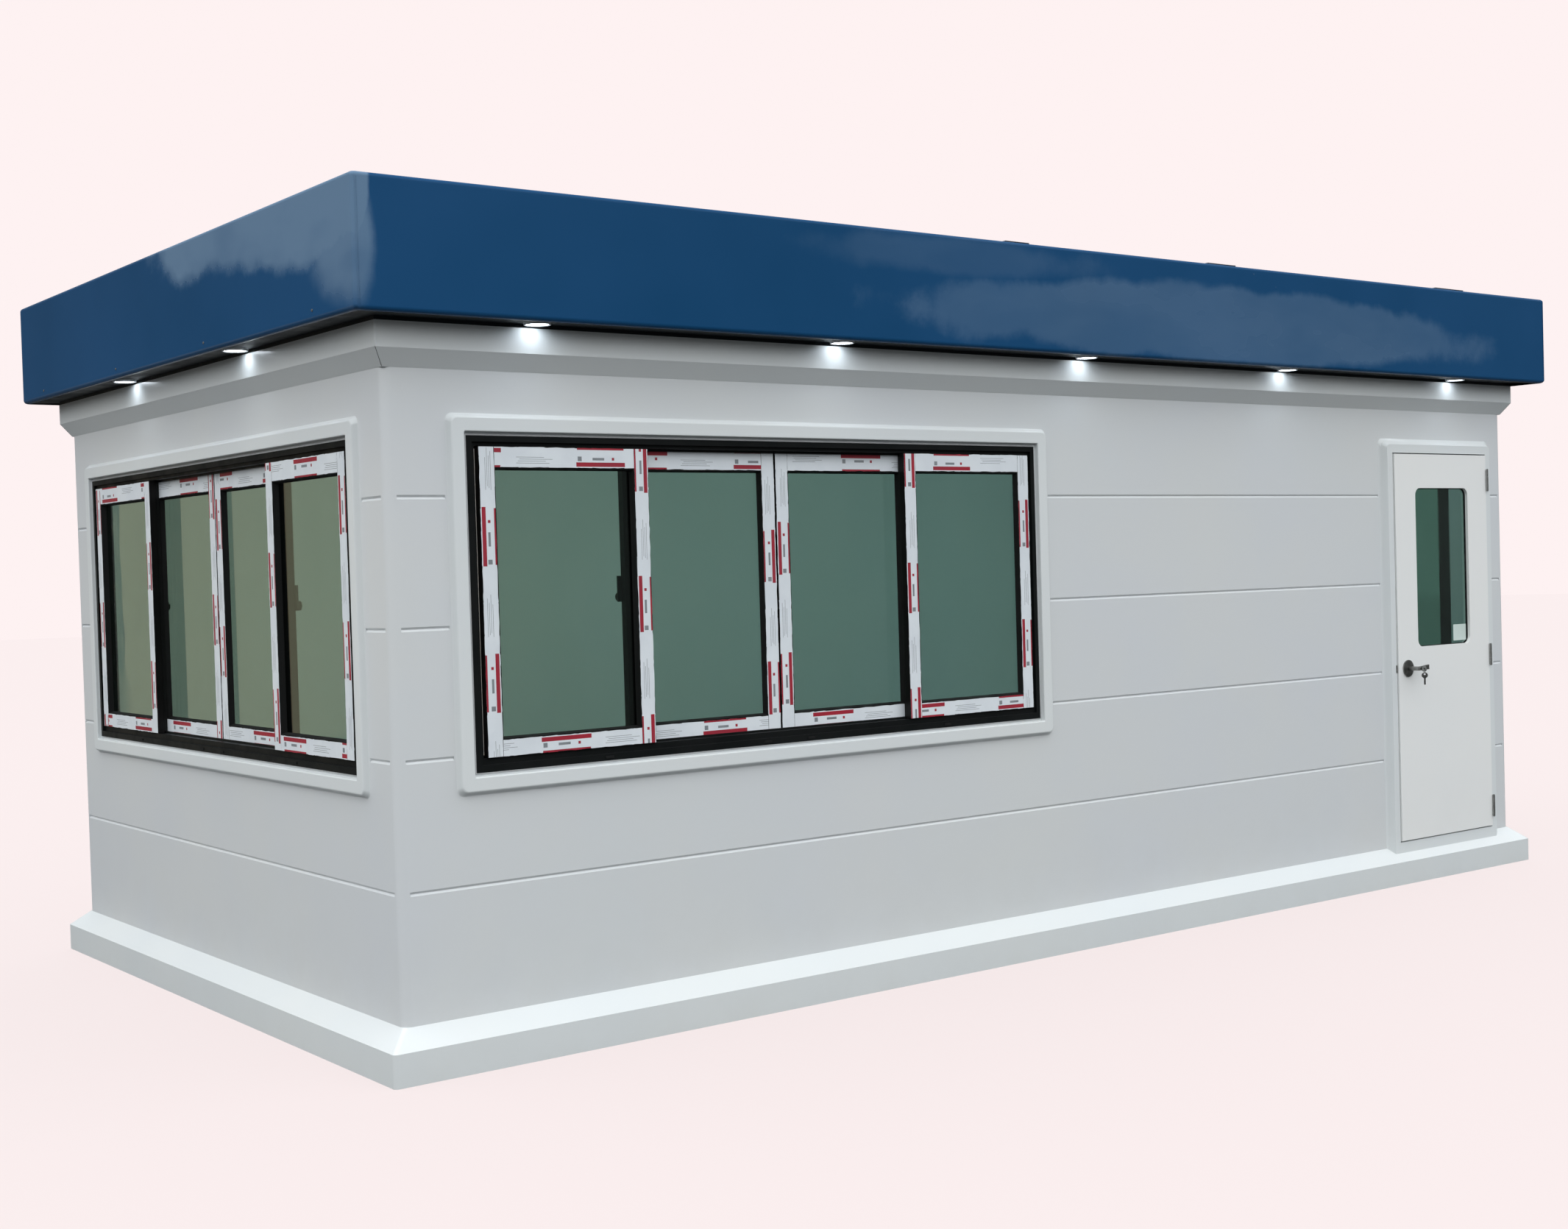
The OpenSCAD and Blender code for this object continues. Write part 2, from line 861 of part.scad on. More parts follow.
module hinge_pins() {
    color("silver") on_front()
        for (z = hinge_heights) translate([axis_x, axis_y, 0]) {
            translate([0, 0, z - hinge_len / 2 - 2])
                cylinder(h = hinge_len + 4, r = pin_r);
            for (e = [z - hinge_len / 2 - 2, z + hinge_len / 2 - 0.5])
                translate([0, 0, e])
                    cylinder(h = 2.5, r = knuckle_r - 1);
        }
}

module leaf_pane() {
    c = [(leaf_x0 + leaf_x1) / 2, -leaf_proud + door_t / 2,
         light_z + light_gh / 2];
    translate(c + [0, door_pane_t / 2, 0]) rotate([90, 0, 0])
        linear_extrude(door_pane_t)
            rounded(light_w + 16, light_gh + 16, light_r + 8);
}

module door_leaf() {
    color("white") on_front() difference() {
        span([leaf_x0, -leaf_proud, door_z],
             [leaf_x1, door_t - leaf_proud, leaf_top]);
        translate([(leaf_x0 + leaf_x1) / 2, door_t, light_z + light_gh / 2])
            rotate([90, 0, 0])
                linear_extrude(3 * door_t)
                    rounded(light_w, light_gh, light_r);
        leaf_pane();
        translate([lever_x, door_t, lever_z]) rotate([90, 0, 0])
            cylinder(h = 3 * door_t, r = lever_r + 5);
    }
}

module door_glass() {
    color("lightseagreen") on_front() leaf_pane();
}

// Round roses on both faces of the leaf.
module lock_roses() {
    color("silver") on_front() translate([lever_x, 0, lever_z])
        for (s = [0, 1])
            translate([0, s == 0 ? -leaf_proud : door_t - leaf_proud, 0])
                rotate([s == 0 ? 90 : -90, 0, 0]) difference() {
                    union() {
                        cylinder(h = rose_t * 0.5, d = rose_d);
                        translate([0, 0, rose_t * 0.5 - skin])
                            cylinder(h = rose_t * 0.5, d1 = rose_d,
                                     d2 = rose_d * 0.55);
                    }
                    translate([0, 0, -1])
                        cylinder(h = rose_t + 2, r = lever_r + 1);
                }
}

// Lever bars on both faces joined by the spindle, with the key cylinder.
module lever_set() {
    front = -leaf_proud - lever_out;
    back = door_t - leaf_proud + lever_out;
    color("silver") on_front() translate([lever_x, 0, lever_z]) {
        translate([0, back, 0]) rotate([90, 0, 0])
            cylinder(h = back - front, r = lever_r);
        for (y = [front, back]) translate([0, y, 0]) lever_bar();
        translate([0, front, 0]) rotate([90, 0, 0])
            cylinder(h = lever_r + cyl_out, r = cyl_r);
    }
}

module lever_bar() {
    hull() {
        sphere(r = lever_r);
        translate([lever_len - lever_end_t / 2, 0,
                   lever_rise - lever_end_h / 2])
            cylinder(h = lever_end_h, d = lever_end_t);
    }
}

// Key in the cylinder, the ring through its bow and the spare key on it.
module lock_keys() {
    y = -leaf_proud - lever_out - lever_r - cyl_out;
    bow_y = -key_gap - bow_r;
    eye_y = bow_y - key_eye;
    ring_z = -bow_eye + ring_t - ring_r;
    spare_z = ring_z - ring_r + ring_t - 2 * bow_eye - 1;
    color("silver") on_front() translate([lever_x, y, lever_z]) {
        span([-key_t / 2, -key_gap - 1, -key_w / 2], [key_t / 2, 0, key_w / 2]);
        translate([-key_t / 2, bow_y, 0]) key_bow([0, -key_eye, 0]);
        translate([0, eye_y, 0]) rotate([0, 0, ring_turn]) {
            translate([0, 0, ring_z]) rotate([90, 0, 0]) rotate_extrude()
                translate([ring_r, 0]) circle(r = ring_t, $fn = 12);
            translate([-key_t / 2, 0, spare_z]) {
                key_bow([0, 0, bow_eye + 1]);
                span([0, -key_w / 2, -bow_r - key_len],
                     [key_t, key_w / 2, 1 - bow_r]);
            }
        }
    }
}

// Flat bow of a key in the YZ plane, its hole moved by c from the middle.
module key_bow(c) {
    rotate([0, 90, 0]) difference() {
        cylinder(h = key_t, r = bow_r);
        translate([-c[2], c[1], -1]) cylinder(h = key_t + 2, r = bow_eye);
    }
}

// ---------------------------------------------------------------- output

base_skirt();
floor_joists();
floor_deck();
floor_cover();
wall_front();
wall_front_right();
wall_front_header();
wall_left();
wall_right();
wall_back();
cornice();
soffit_strip();
ceiling_panel();
roof_deck();
roof_ribs();
roof_shell();
roof_pads();
downlight_rims();
downlight_lenses();
window_surrounds();
window_front_frame();
window_front_outer_sashes();
window_front_inner_sashes();
window_front_glass();
window_left_frame();
window_left_outer_sashes();
window_left_inner_sashes();
window_left_glass();
window_right_frame();
window_right_outer_sashes();
window_right_inner_sashes();
window_right_glass();
window_latches();
door_surround();
door_lining();
strike_plate();
hinge_fixed();
hinge_pins();
door_leaf();
door_glass();
hinge_moving();
lock_roses();
lever_set();
lock_keys();
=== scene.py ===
"""Security guard booth: finishes, films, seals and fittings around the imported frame.

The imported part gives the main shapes. This script softens their edges, dresses every
surface, adds the thin pieces that a maker fits last, and sets up a plain studio.
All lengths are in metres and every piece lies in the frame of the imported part.
"""

from __future__ import annotations

import json
import logging
import math
import random
from dataclasses import dataclass
from enum import Enum
from typing import Iterable, Sequence, Union

import bmesh
import bpy
from mathutils import Matrix, Vector

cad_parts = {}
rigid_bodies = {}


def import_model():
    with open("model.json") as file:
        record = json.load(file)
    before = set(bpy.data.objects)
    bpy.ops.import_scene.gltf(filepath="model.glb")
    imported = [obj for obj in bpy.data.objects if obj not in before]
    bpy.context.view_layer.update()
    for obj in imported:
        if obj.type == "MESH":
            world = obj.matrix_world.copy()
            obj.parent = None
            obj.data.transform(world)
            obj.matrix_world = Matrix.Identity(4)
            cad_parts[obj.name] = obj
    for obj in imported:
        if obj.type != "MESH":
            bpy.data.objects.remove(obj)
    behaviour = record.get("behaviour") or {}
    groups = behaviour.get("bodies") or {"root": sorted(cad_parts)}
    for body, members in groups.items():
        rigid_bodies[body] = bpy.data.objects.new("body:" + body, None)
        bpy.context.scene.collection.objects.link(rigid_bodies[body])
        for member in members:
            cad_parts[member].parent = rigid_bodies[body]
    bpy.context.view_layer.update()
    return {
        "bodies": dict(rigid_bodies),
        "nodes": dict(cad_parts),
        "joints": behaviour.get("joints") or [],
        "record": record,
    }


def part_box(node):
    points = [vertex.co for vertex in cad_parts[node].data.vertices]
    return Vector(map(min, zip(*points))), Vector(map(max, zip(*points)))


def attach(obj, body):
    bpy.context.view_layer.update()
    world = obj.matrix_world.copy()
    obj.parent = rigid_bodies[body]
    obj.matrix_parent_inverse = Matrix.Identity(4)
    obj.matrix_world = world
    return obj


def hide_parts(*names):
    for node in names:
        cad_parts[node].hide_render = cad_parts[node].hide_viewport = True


LOG = logging.getLogger("booth")
Point = tuple[float, float, float]
Flat = tuple[float, float]
Side = tuple[int, ...]
Colour = tuple[float, float, float]
Fed = Union[bpy.types.NodeSocket, bpy.types.Node, bpy.types.Material, float, str,
            Sequence[float]]
MERGE = 1e-6
FLOAT, VECTOR, WHOLE = "NodeSocketFloat", "NodeSocketVector", "NodeSocketInt"
SHAPE, DRESS = "NodeSocketGeometry", "NodeSocketMaterial"


# ------------------------------------------------------------------ node making


class Graph:
    """Adds nodes and links to one node tree."""

    def __init__(self, tree: bpy.types.NodeTree) -> None:
        """Keeps the tree that the nodes go into."""
        self.tree = tree

    def add(self, kind: str, inputs: dict[str | int, Fed] | None = None,
            **settings: object) -> bpy.types.Node:
        """Adds one node.

        Args:
            kind: Blender's name of the node type.
            inputs: Values or output sockets by input name or index.
            settings: Properties of the node itself.

        Returns:
            The new node.
        """
        node = self.tree.nodes.new(kind)
        for name, value in settings.items():
            setattr(node, name, value)
        for key, value in (inputs or {}).items():
            self.feed(node.inputs[key], value)
        return node

    def feed(self, socket: bpy.types.NodeSocket, value: Fed) -> None:
        """Links an output to an input, or sets the input's own value.

        Args:
            socket: The input socket.
            value: An output socket, a node for its first output, or a plain value.
        """
        if isinstance(value, bpy.types.NodeSocket):
            self.tree.links.new(value, socket)
        elif isinstance(value, bpy.types.Node):
            self.tree.links.new(value.outputs[0], socket)
        else:
            if socket.type == "RGBA" and len(value) == 3:
                value = (*value, 1.0)
            socket.default_value = value

    def math(self, operation: str, a: Fed, b: Fed = 0.0, clamp: bool = False
             ) -> bpy.types.NodeSocket:
        """Adds a Math node and returns its output."""
        node = self.add("ShaderNodeMath", {0: a, 1: b}, operation=operation, use_clamp=clamp)
        return node.outputs[0]

    def blend(self, factor: Fed, a: Fed, b: Fed) -> bpy.types.NodeSocket:
        """Adds a colour Mix node and returns its colour output."""
        node = self.add("ShaderNodeMix", {0: factor, 6: a, 7: b}, data_type="RGBA")
        return node.outputs[2]

    def remap(self, value: Fed, low: Fed, high: Fed, to_low: float = 0.0,
              to_high: float = 1.0) -> bpy.types.NodeSocket:
        """Maps one range to another with soft ends and returns the output."""
        node = self.add("ShaderNodeMapRange", {0: value, 1: low, 2: high, 3: to_low,
                                               4: to_high}, interpolation_type="SMOOTHSTEP")
        return node.outputs[0]

    def noise(self, vector: Fed, scale: Fed, detail: float, roughness: float
              ) -> bpy.types.NodeSocket:
        """Adds a Noise Texture node and returns its value output."""
        node = self.add("ShaderNodeTexNoise", {"Vector": vector, "Scale": scale,
                                               "Detail": detail, "Roughness": roughness})
        return node.outputs[0]

    def either(self, mask: Fed, off: Fed, on: Fed) -> bpy.types.Node:
        """Adds a Mix Shader node between two shaders."""
        return self.add("ShaderNodeMixShader", {0: mask, 1: off, 2: on})


def new_group(name: str, kind: str, ins: Sequence[tuple[str, str, Fed | None]],
              outs: Sequence[tuple[str, str]]
              ) -> tuple[bpy.types.NodeTree, Graph, bpy.types.Node, bpy.types.Node]:
    """Makes an empty node group with named sockets.

    Args:
        name: Name of the group.
        kind: "ShaderNodeTree" or "GeometryNodeTree".
        ins: (name, socket type, default or None) of each input.
        outs: (name, socket type) of each output.

    Returns:
        The tree, its graph, and its input and output nodes.
    """
    tree = bpy.data.node_groups.new(name, kind)
    for label, socket, default in ins:
        made = tree.interface.new_socket(name=label, in_out="INPUT", socket_type=socket)
        if default is not None:
            made.default_value = default
    for label, socket in outs:
        tree.interface.new_socket(name=label, in_out="OUTPUT", socket_type=socket)
    graph = Graph(tree)
    return tree, graph, graph.add("NodeGroupInput"), graph.add("NodeGroupOutput")


class Effects:
    """Shader groups that several finishes share."""

    def __init__(self) -> None:
        """Builds each group once."""
        self.cloud = self._cloud()
        self.grain = self._grain()
        self.dust = self._dust()
        self.marks = self._marks()
        self.patch = self._patch()

    @staticmethod
    def _cloud() -> bpy.types.NodeTree:
        """Large soft patches of tone.

        Returns:
            A group with a Mask output from 0 to 1.
        """
        tree, g, i, o = new_group(
            "Cloud", "ShaderNodeTree",
            [("Vector", VECTOR, None), ("Scale", FLOAT, 1.5), ("Softness", FLOAT, 0.3)],
            [("Mask", FLOAT)])
        tone = g.noise(i.outputs[0], i.outputs[1], detail=3.0, roughness=0.55)
        g.feed(o.inputs[0], g.remap(tone, g.math("SUBTRACT", 0.5, i.outputs[2]),
                                    g.math("ADD", 0.5, i.outputs[2])))
        return tree

    @staticmethod
    def _grain() -> bpy.types.NodeTree:
        """Fine surface relief over a slow ripple.

        Returns:
            A group with a Height output for a Bump node.
        """
        tree, g, i, o = new_group(
            "Grain", "ShaderNodeTree",
            [("Vector", VECTOR, None), ("Scale", FLOAT, 300.0), ("Grain", FLOAT, 0.1),
             ("Ripple Scale", FLOAT, 2.0), ("Ripple", FLOAT, 1.0)],
            [("Height", FLOAT)])
        fine = g.noise(i.outputs[0], i.outputs[1], detail=2.0, roughness=0.6)
        slow = g.noise(i.outputs[0], i.outputs[3], detail=1.0, roughness=0.4)
        a = g.math("MULTIPLY", fine, i.outputs[2])
        b = g.math("MULTIPLY", slow, i.outputs[4])
        g.feed(o.inputs[0], g.math("ADD", a, b))
        return tree

    @staticmethod
    def _dust() -> bpy.types.NodeTree:
        """Thin road dust that fades upward from the ground.

        Returns:
            A group with a Mask output from 0 to 1.
        """
        tree, g, i, o = new_group(
            "Dust", "ShaderNodeTree",
            [("Vector", VECTOR, None), ("Level", FLOAT, 0.5), ("Amount", FLOAT, 0.3)],
            [("Mask", FLOAT)])
        height = g.add("ShaderNodeSeparateXYZ", {0: i.outputs[0]})
        share = g.math("DIVIDE", height.outputs[2], i.outputs[1])
        fade = g.math("SUBTRACT", 1.0, share, clamp=True)
        noise = g.noise(i.outputs[0], scale=6.0, detail=4.0, roughness=0.65)
        rough = g.remap(noise, 0.3, 0.7, to_low=0.35)
        body = g.math("MULTIPLY", g.math("POWER", fade, 1.6), rough)
        g.feed(o.inputs[0], g.math("MULTIPLY", body, i.outputs[2], clamp=True))
        return tree

    @staticmethod
    def _marks() -> bpy.types.NodeTree:
        """Sparse small specks, such as handling marks.

        Returns:
            A group with a Mask output from 0 to 1.
        """
        tree, g, i, o = new_group(
            "Marks", "ShaderNodeTree",
            [("Vector", VECTOR, None), ("Scale", FLOAT, 40.0), ("Size", FLOAT, 0.08)],
            [("Mask", FLOAT)])
        cell = g.add("ShaderNodeTexVoronoi", {"Vector": i.outputs[0], "Scale": i.outputs[1]})
        lot = g.add("ShaderNodeSeparateColor", {0: cell.outputs["Color"]})
        spot = g.add("ShaderNodeMapRange", {0: cell.outputs["Distance"], 1: i.outputs[2],
                                            2: 0.0, 3: 0.0, 4: 1.0})
        left_out = 0.72
        kept = g.math("GREATER_THAN", lot.outputs[0], left_out)
        g.feed(o.inputs[0], g.math("MULTIPLY", spot.outputs[0], kept))
        return tree

    @staticmethod
    def _patch() -> bpy.types.NodeTree:
        """One ragged patch round a place; the roof's painted reflections use it.

        Returns:
            A group with a Mask output from 0 to 1.
        """
        tree, g, i, o = new_group(
            "Patch", "ShaderNodeTree",
            [("Vector", VECTOR, None), ("Place", VECTOR, None), ("Reach", VECTOR, None),
             ("Edge", FLOAT, 0.1), ("Torn", FLOAT, 0.8)],
            [("Mask", FLOAT)])
        away = g.add("ShaderNodeVectorMath", {0: i.outputs[0], 1: i.outputs[1]},
                     operation="SUBTRACT")
        share = g.add("ShaderNodeVectorMath", {0: away, 1: i.outputs[2]},
                      operation="DIVIDE")
        length = g.add("ShaderNodeVectorMath", {0: share}, operation="LENGTH")
        noise = g.noise(i.outputs[0], scale=2.6, detail=6.0, roughness=0.62)
        tear = g.math("SUBTRACT", noise, 0.5)
        reach = g.math("ADD", length.outputs["Value"],
                       g.math("MULTIPLY", tear, i.outputs[4]))
        g.feed(o.inputs[0], g.remap(reach, g.math("ADD", 1.0, i.outputs[3]),
                                    g.math("SUBTRACT", 1.0, i.outputs[3])))
        return tree


class Canvas:
    """One empty material with its Principled shader and Object coordinates."""

    def __init__(self, name: str, effects: Effects) -> None:
        """Makes the material.

        Args:
            name: Name of the material.
            effects: The shared shader groups.
        """
        self.material = bpy.data.materials.new(name)
        self.material.use_nodes = True
        self.material.node_tree.nodes.clear()
        self.effects = effects
        self.graph = Graph(self.material.node_tree)
        output = self.graph.add("ShaderNodeOutputMaterial")
        self.shader = self.graph.add("ShaderNodeBsdfPrincipled")
        self.graph.feed(output.inputs[0], self.shader)
        self.where = self.graph.add("ShaderNodeTexCoord").outputs["Object"]

    def _group(self, tree: bpy.types.NodeTree, inputs: dict[str, Fed]
               ) -> bpy.types.NodeSocket:
        """Places a shared group and returns its output."""
        node = self.graph.add("ShaderNodeGroup", {"Vector": self.where, **inputs},
                              node_tree=tree)
        return node.outputs[0]

    def cloud(self, scale: float, softness: float, vector: Fed | None = None
              ) -> bpy.types.NodeSocket:
        """Mask of soft patches."""
        return self._group(self.effects.cloud, {
            "Scale": scale, "Softness": softness, "Vector": vector or self.where})

    def specks(self, scale: float, size: float) -> bpy.types.NodeSocket:
        """Mask of sparse specks."""
        return self._group(self.effects.marks, {"Scale": scale, "Size": size})

    def dust(self, level: float, amount: float) -> bpy.types.NodeSocket:
        """Mask of dust below a level."""
        return self._group(self.effects.dust, {"Level": level, "Amount": amount})

    def reflection_patch(self, painted_reflection: PaintedReflection) -> bpy.types.NodeSocket:
        """Mask of one pale painted reflection."""
        mask = self._group(self.effects.patch, {"Place": painted_reflection.place, "Reach": painted_reflection.reach,
                                                "Edge": painted_reflection.edge, "Torn": painted_reflection.torn})
        return self.graph.math("MULTIPLY", mask, painted_reflection.amount)

    def mapped(self, scale: Point = (1, 1, 1), move: Point = (0, 0, 0)
               ) -> bpy.types.NodeSocket:
        """Object coordinates scaled and moved by a Mapping node."""
        node = self.graph.add("ShaderNodeMapping", {"Vector": self.where, "Scale": scale,
                                                    "Location": move})
        return node.outputs[0]

    def rough(self, distance: float, scale: float, grain: float, ripple_scale: float,
              ripple: float = 1.0) -> None:
        """Gives the surface the shared grain and ripple."""
        self.relief(self._group(self.effects.grain, {
            "Scale": scale, "Grain": grain, "Ripple Scale": ripple_scale,
            "Ripple": ripple}), distance)

    def relief(self, height: Fed, distance: float) -> None:
        """Feeds a height through a Bump node to the shader's Normal."""
        bump = self.graph.add("ShaderNodeBump", {"Height": height, "Distance": distance,
                                                 "Strength": 1.0})
        self.graph.feed(self.shader.inputs["Normal"], bump)

    def put(self, **values: Fed) -> None:
        """Sets the shader's own sockets; underscores stand for spaces."""
        for key, value in values.items():
            self.graph.feed(self.shader.inputs[key.replace("_", " ")], value)


@dataclass(frozen=True)
class Finish:
    """A named finish. Each kind lays its own nodes."""

    name: str

    def build(self, effects: Effects) -> bpy.types.Material:
        """Makes the material.

        Args:
            effects: The shared shader groups.

        Returns:
            The finished material.
        """
        canvas = Canvas(self.name, effects)
        self.lay(canvas, canvas.graph)
        return canvas.material

    def lay(self, f: Canvas, g: Graph) -> None:
        """Lays the nodes on the canvas f, whose graph is g."""
        raise NotImplementedError


@dataclass(frozen=True)
class Gelcoat(Finish):
    """Glossy moulded skin with cloudy tone, faint ripple and a little dust."""

    colour: Colour
    warm: Colour
    cool: Colour
    roughness: float = 0.3
    ripple: float = 0.0012
    dust: float = 0.15
    dust_level: float = 0.7
    dust_colour: Colour = (0.42, 0.40, 0.36)
    dust_matt: float = 0.4
    warmth: float = 0.6
    smear: float = 1.35
    sheen: float = 0.25
    sheen_roughness: float = 0.12

    def lay(self, f: Canvas, g: Graph) -> None:
        """Lays the nodes.

        Args:
            f: The new material.
            g: Its graph.
        """
        wide = f.cloud(scale=0.6, softness=0.36)
        close = f.cloud(scale=1.7, softness=0.38, vector=f.mapped(move=(3.1, 1.7, 0.4)))
        tone = g.blend(wide, self.colour, self.cool)
        tone = g.blend(g.math("MULTIPLY", close, self.warmth), tone, self.warm)
        dirt = f.dust(self.dust_level, self.dust)
        f.put(Base_Color=g.blend(dirt, tone, self.dust_colour))
        smear = g.remap(close, 0.0, 1.0, self.roughness, self.roughness * self.smear)
        f.put(Roughness=g.math("ADD", smear, g.math("MULTIPLY", dirt, self.dust_matt),
                               clamp=True),
              Coat_Weight=self.sheen, Coat_Roughness=self.sheen_roughness, IOR=1.45)
        f.rough(self.ripple, scale=26.0, grain=0.02, ripple_scale=2.6)


@dataclass(frozen=True)
class PaintedReflection:
    """Where one pale painted reflection of the surroundings lies on the roof box, and how
    far it reaches.
    """

    place: Point
    reach: Point
    edge: float
    torn: float
    amount: float


@dataclass(frozen=True)
class RoofGelcoat(Finish):
    """Deep blue glossy skin with pale, torn patches painted into its colour as reflections
    of the surroundings.
    """

    name: str = "Roof_Gelcoat"
    colour: Colour = (0.0115, 0.071, 0.182)
    deep: Colour = (0.0065, 0.059, 0.153)
    # pale blue painted into the colour as reflections of the surroundings
    painted_reflection: Colour = (0.122, 0.212, 0.330)
    speck: Colour = (0.14, 0.2, 0.27)
    speck_share: float = 0.5
    wave: Flat = (0.78, 1.12)
    rough_span: Flat = (0.2, 0.42)
    ripple: float = 0.0012
    level: float = 0.12
    # places of the painted reflections on the front and left faces
    painted_reflections: tuple[PaintedReflection, ...] = (
        PaintedReflection((0.80, -1.68, 2.545), (1.75, 0.06, 0.155), 0.13, 0.9, 0.38),
        PaintedReflection((-0.72, -1.68, 2.73), (0.60, 0.06, 0.07), 0.3, 1.6, 0.2),
        PaintedReflection((-3.2, -1.72, 2.83), (0.06, 1.75, 0.245), 0.12, 0.8, 0.95),
        PaintedReflection((-3.2, -1.66, 2.62), (0.06, 0.24, 0.18), 0.3, 0.9, 0.8))

    def lay(self, f: Canvas, g: Graph) -> None:
        """Lays the nodes.

        Args:
            f: The new material.
            g: Its graph.
        """
        tone = g.blend(f.cloud(scale=0.9, softness=0.25), self.colour, self.deep)
        # painted reflection: lighter colour where the glossy roof would mirror the
        # surroundings
        first, *others = [f.reflection_patch(reflection_patch) for reflection_patch in self.painted_reflections]
        painted_reflection = first
        for other in others:
            painted_reflection = g.math("MAXIMUM", painted_reflection, other)
        wave = f.cloud(scale=3.4, softness=0.3, vector=f.mapped(scale=(0.5, 0.6, 1.3)))
        painted_reflection = g.math("MULTIPLY", painted_reflection, g.remap(wave, 0.0, 1.0, *self.wave), clamp=True)
        tone = g.blend(painted_reflection, tone, self.painted_reflection)
        specks = g.math("MULTIPLY", f.specks(scale=7.0, size=0.035), self.speck_share)
        f.put(Base_Color=g.blend(specks, tone, self.speck),
              Roughness=g.remap(painted_reflection, 0.0, 1.0, *self.rough_span),
              Specular_IOR_Level=self.level)
        f.rough(self.ripple, scale=30.0, grain=0.02, ripple_scale=5.5)


@dataclass(frozen=True)
class PowderCoat(Finish):
    """Fine-textured satin coating on metal, or plain dark sheet."""

    colour: Colour
    rubbed: Colour
    roughness: float = 0.45
    grain: float = 900.0
    depth: float = 0.00012
    level: float = 0.5
    rubbed_share: float = 0.5
    speck_share: float = 0.3
    rough_span: Flat = (0.85, 1.2)

    def lay(self, f: Canvas, g: Graph) -> None:
        """Lays the nodes.

        Args:
            f: The new material.
            g: Its graph.
        """
        patch = f.cloud(scale=7.0, softness=0.2)
        specks = g.math("MULTIPLY", f.specks(scale=160.0, size=0.09), self.speck_share)
        tone = g.blend(g.math("MULTIPLY", patch, self.rubbed_share), self.colour,
                       self.rubbed)
        f.put(Base_Color=g.blend(specks, tone, self.rubbed),
              Roughness=g.remap(patch, 0.0, 1.0,
                                *(self.roughness * share for share in self.rough_span)),
              Metallic=0.0, Specular_IOR_Level=self.level)
        f.rough(self.depth, self.grain, grain=1.0, ripple_scale=20.0, ripple=0.3)


@dataclass(frozen=True)
class SatinSteel(Finish):
    """Brushed or satin plated metal with fine drawn lines."""

    colour: Colour
    dull: Colour
    roughness: float = 0.3
    stretch: Point = (1.0, 1.0, 0.06)
    drawn: Flat = (0.3, 0.7)
    rough_span: Flat = (0.75, 1.4)
    depth: float = 0.00006

    def lay(self, f: Canvas, g: Graph) -> None:
        """Lays the nodes.

        Args:
            f: The new material.
            g: Its graph.
        """
        lines = g.add("ShaderNodeTexNoise", {"Vector": f.mapped(scale=self.stretch),
                                             "Scale": 1600.0, "Detail": 2.0})
        patch = f.cloud(scale=45.0, softness=0.25)
        f.put(Base_Color=g.blend(patch, self.colour, self.dull), Metallic=1.0,
              Roughness=g.remap(lines, *self.drawn,
                                *(self.roughness * share for share in self.rough_span)))
        f.relief(lines, self.depth)


@dataclass(frozen=True)
class TintedGlass(Finish):
    """Green float glass with faint wipe marks."""

    name: str = "Tinted_Glass"
    colour: Colour = (0.358, 0.605, 0.530)
    smear: Colour = (0.385, 0.630, 0.555)
    smear_share: float = 0.35
    clear_below: float = 0.2
    haziest: float = 0.05
    ripple: float = 0.0006

    def lay(self, f: Canvas, g: Graph) -> None:
        """Lays the nodes.

        Args:
            f: The new material.
            g: Its graph.
        """
        wiped = f.cloud(scale=5.0, softness=0.12, vector=f.mapped(scale=(1.0, 1.0, 0.45)))
        share = g.math("MULTIPLY", wiped, self.smear_share)
        f.put(Base_Color=g.blend(share, self.colour, self.smear),
              Roughness=g.remap(wiped, self.clear_below, 1.0, 0.0, self.haziest),
              Transmission_Weight=1.0, IOR=1.45, Specular_IOR_Level=0.5)
        f.rough(self.ripple, scale=2.0, grain=0.3, ripple_scale=1.2, ripple=0.6)


@dataclass(frozen=True)
class ThinFilm(Finish):
    """Protective film or its print: thin plastic with small creases."""

    colour: Colour
    shade: Colour
    roughness: float = 0.32
    shade_share: float = 0.55
    crumple: float = 1.3
    crease: float = 0.0005

    def lay(self, f: Canvas, g: Graph) -> None:
        """Lays the nodes.

        Args:
            f: The new material.
            g: Its graph.
        """
        tone = f.cloud(scale=9.0, softness=0.2)
        share = g.math("MULTIPLY", tone, self.shade_share)
        f.put(Base_Color=g.blend(share, self.colour, self.shade),
              Roughness=g.remap(tone, 0.0, 1.0, self.roughness,
                                self.roughness * self.crumple))
        f.rough(self.crease, scale=90.0, grain=0.5, ripple_scale=24.0)


@dataclass(frozen=True)
class GlowDisc(Finish):
    """Opal diffuser that gives light, a little brighter in its middle cells."""

    name: str = "Glow_Disc"
    opal: tuple[Colour, Colour] = ((0.6, 0.66, 0.7), (0.9, 0.92, 0.94))
    glow: tuple[Colour, Colour] = ((0.5, 0.58, 0.66), (0.86, 0.93, 1.0))
    strength: float = 13.0
    cell_edge: float = 0.6
    edge_share: float = 0.82
    depth: float = 0.0004

    def lay(self, f: Canvas, g: Graph) -> None:
        """Lays the nodes.

        Args:
            f: The new material.
            g: Its graph.
        """
        cells = g.add("ShaderNodeTexVoronoi", {"Vector": f.where, "Scale": 170.0})
        away = cells.outputs["Distance"]
        ripple = g.remap(away, 0.0, self.cell_edge, 1.0, self.edge_share)
        f.put(Base_Color=g.blend(ripple, *self.opal),
              Emission_Color=g.blend(ripple, *self.glow),
              Emission_Strength=self.strength, Roughness=0.35)
        f.relief(away, self.depth)


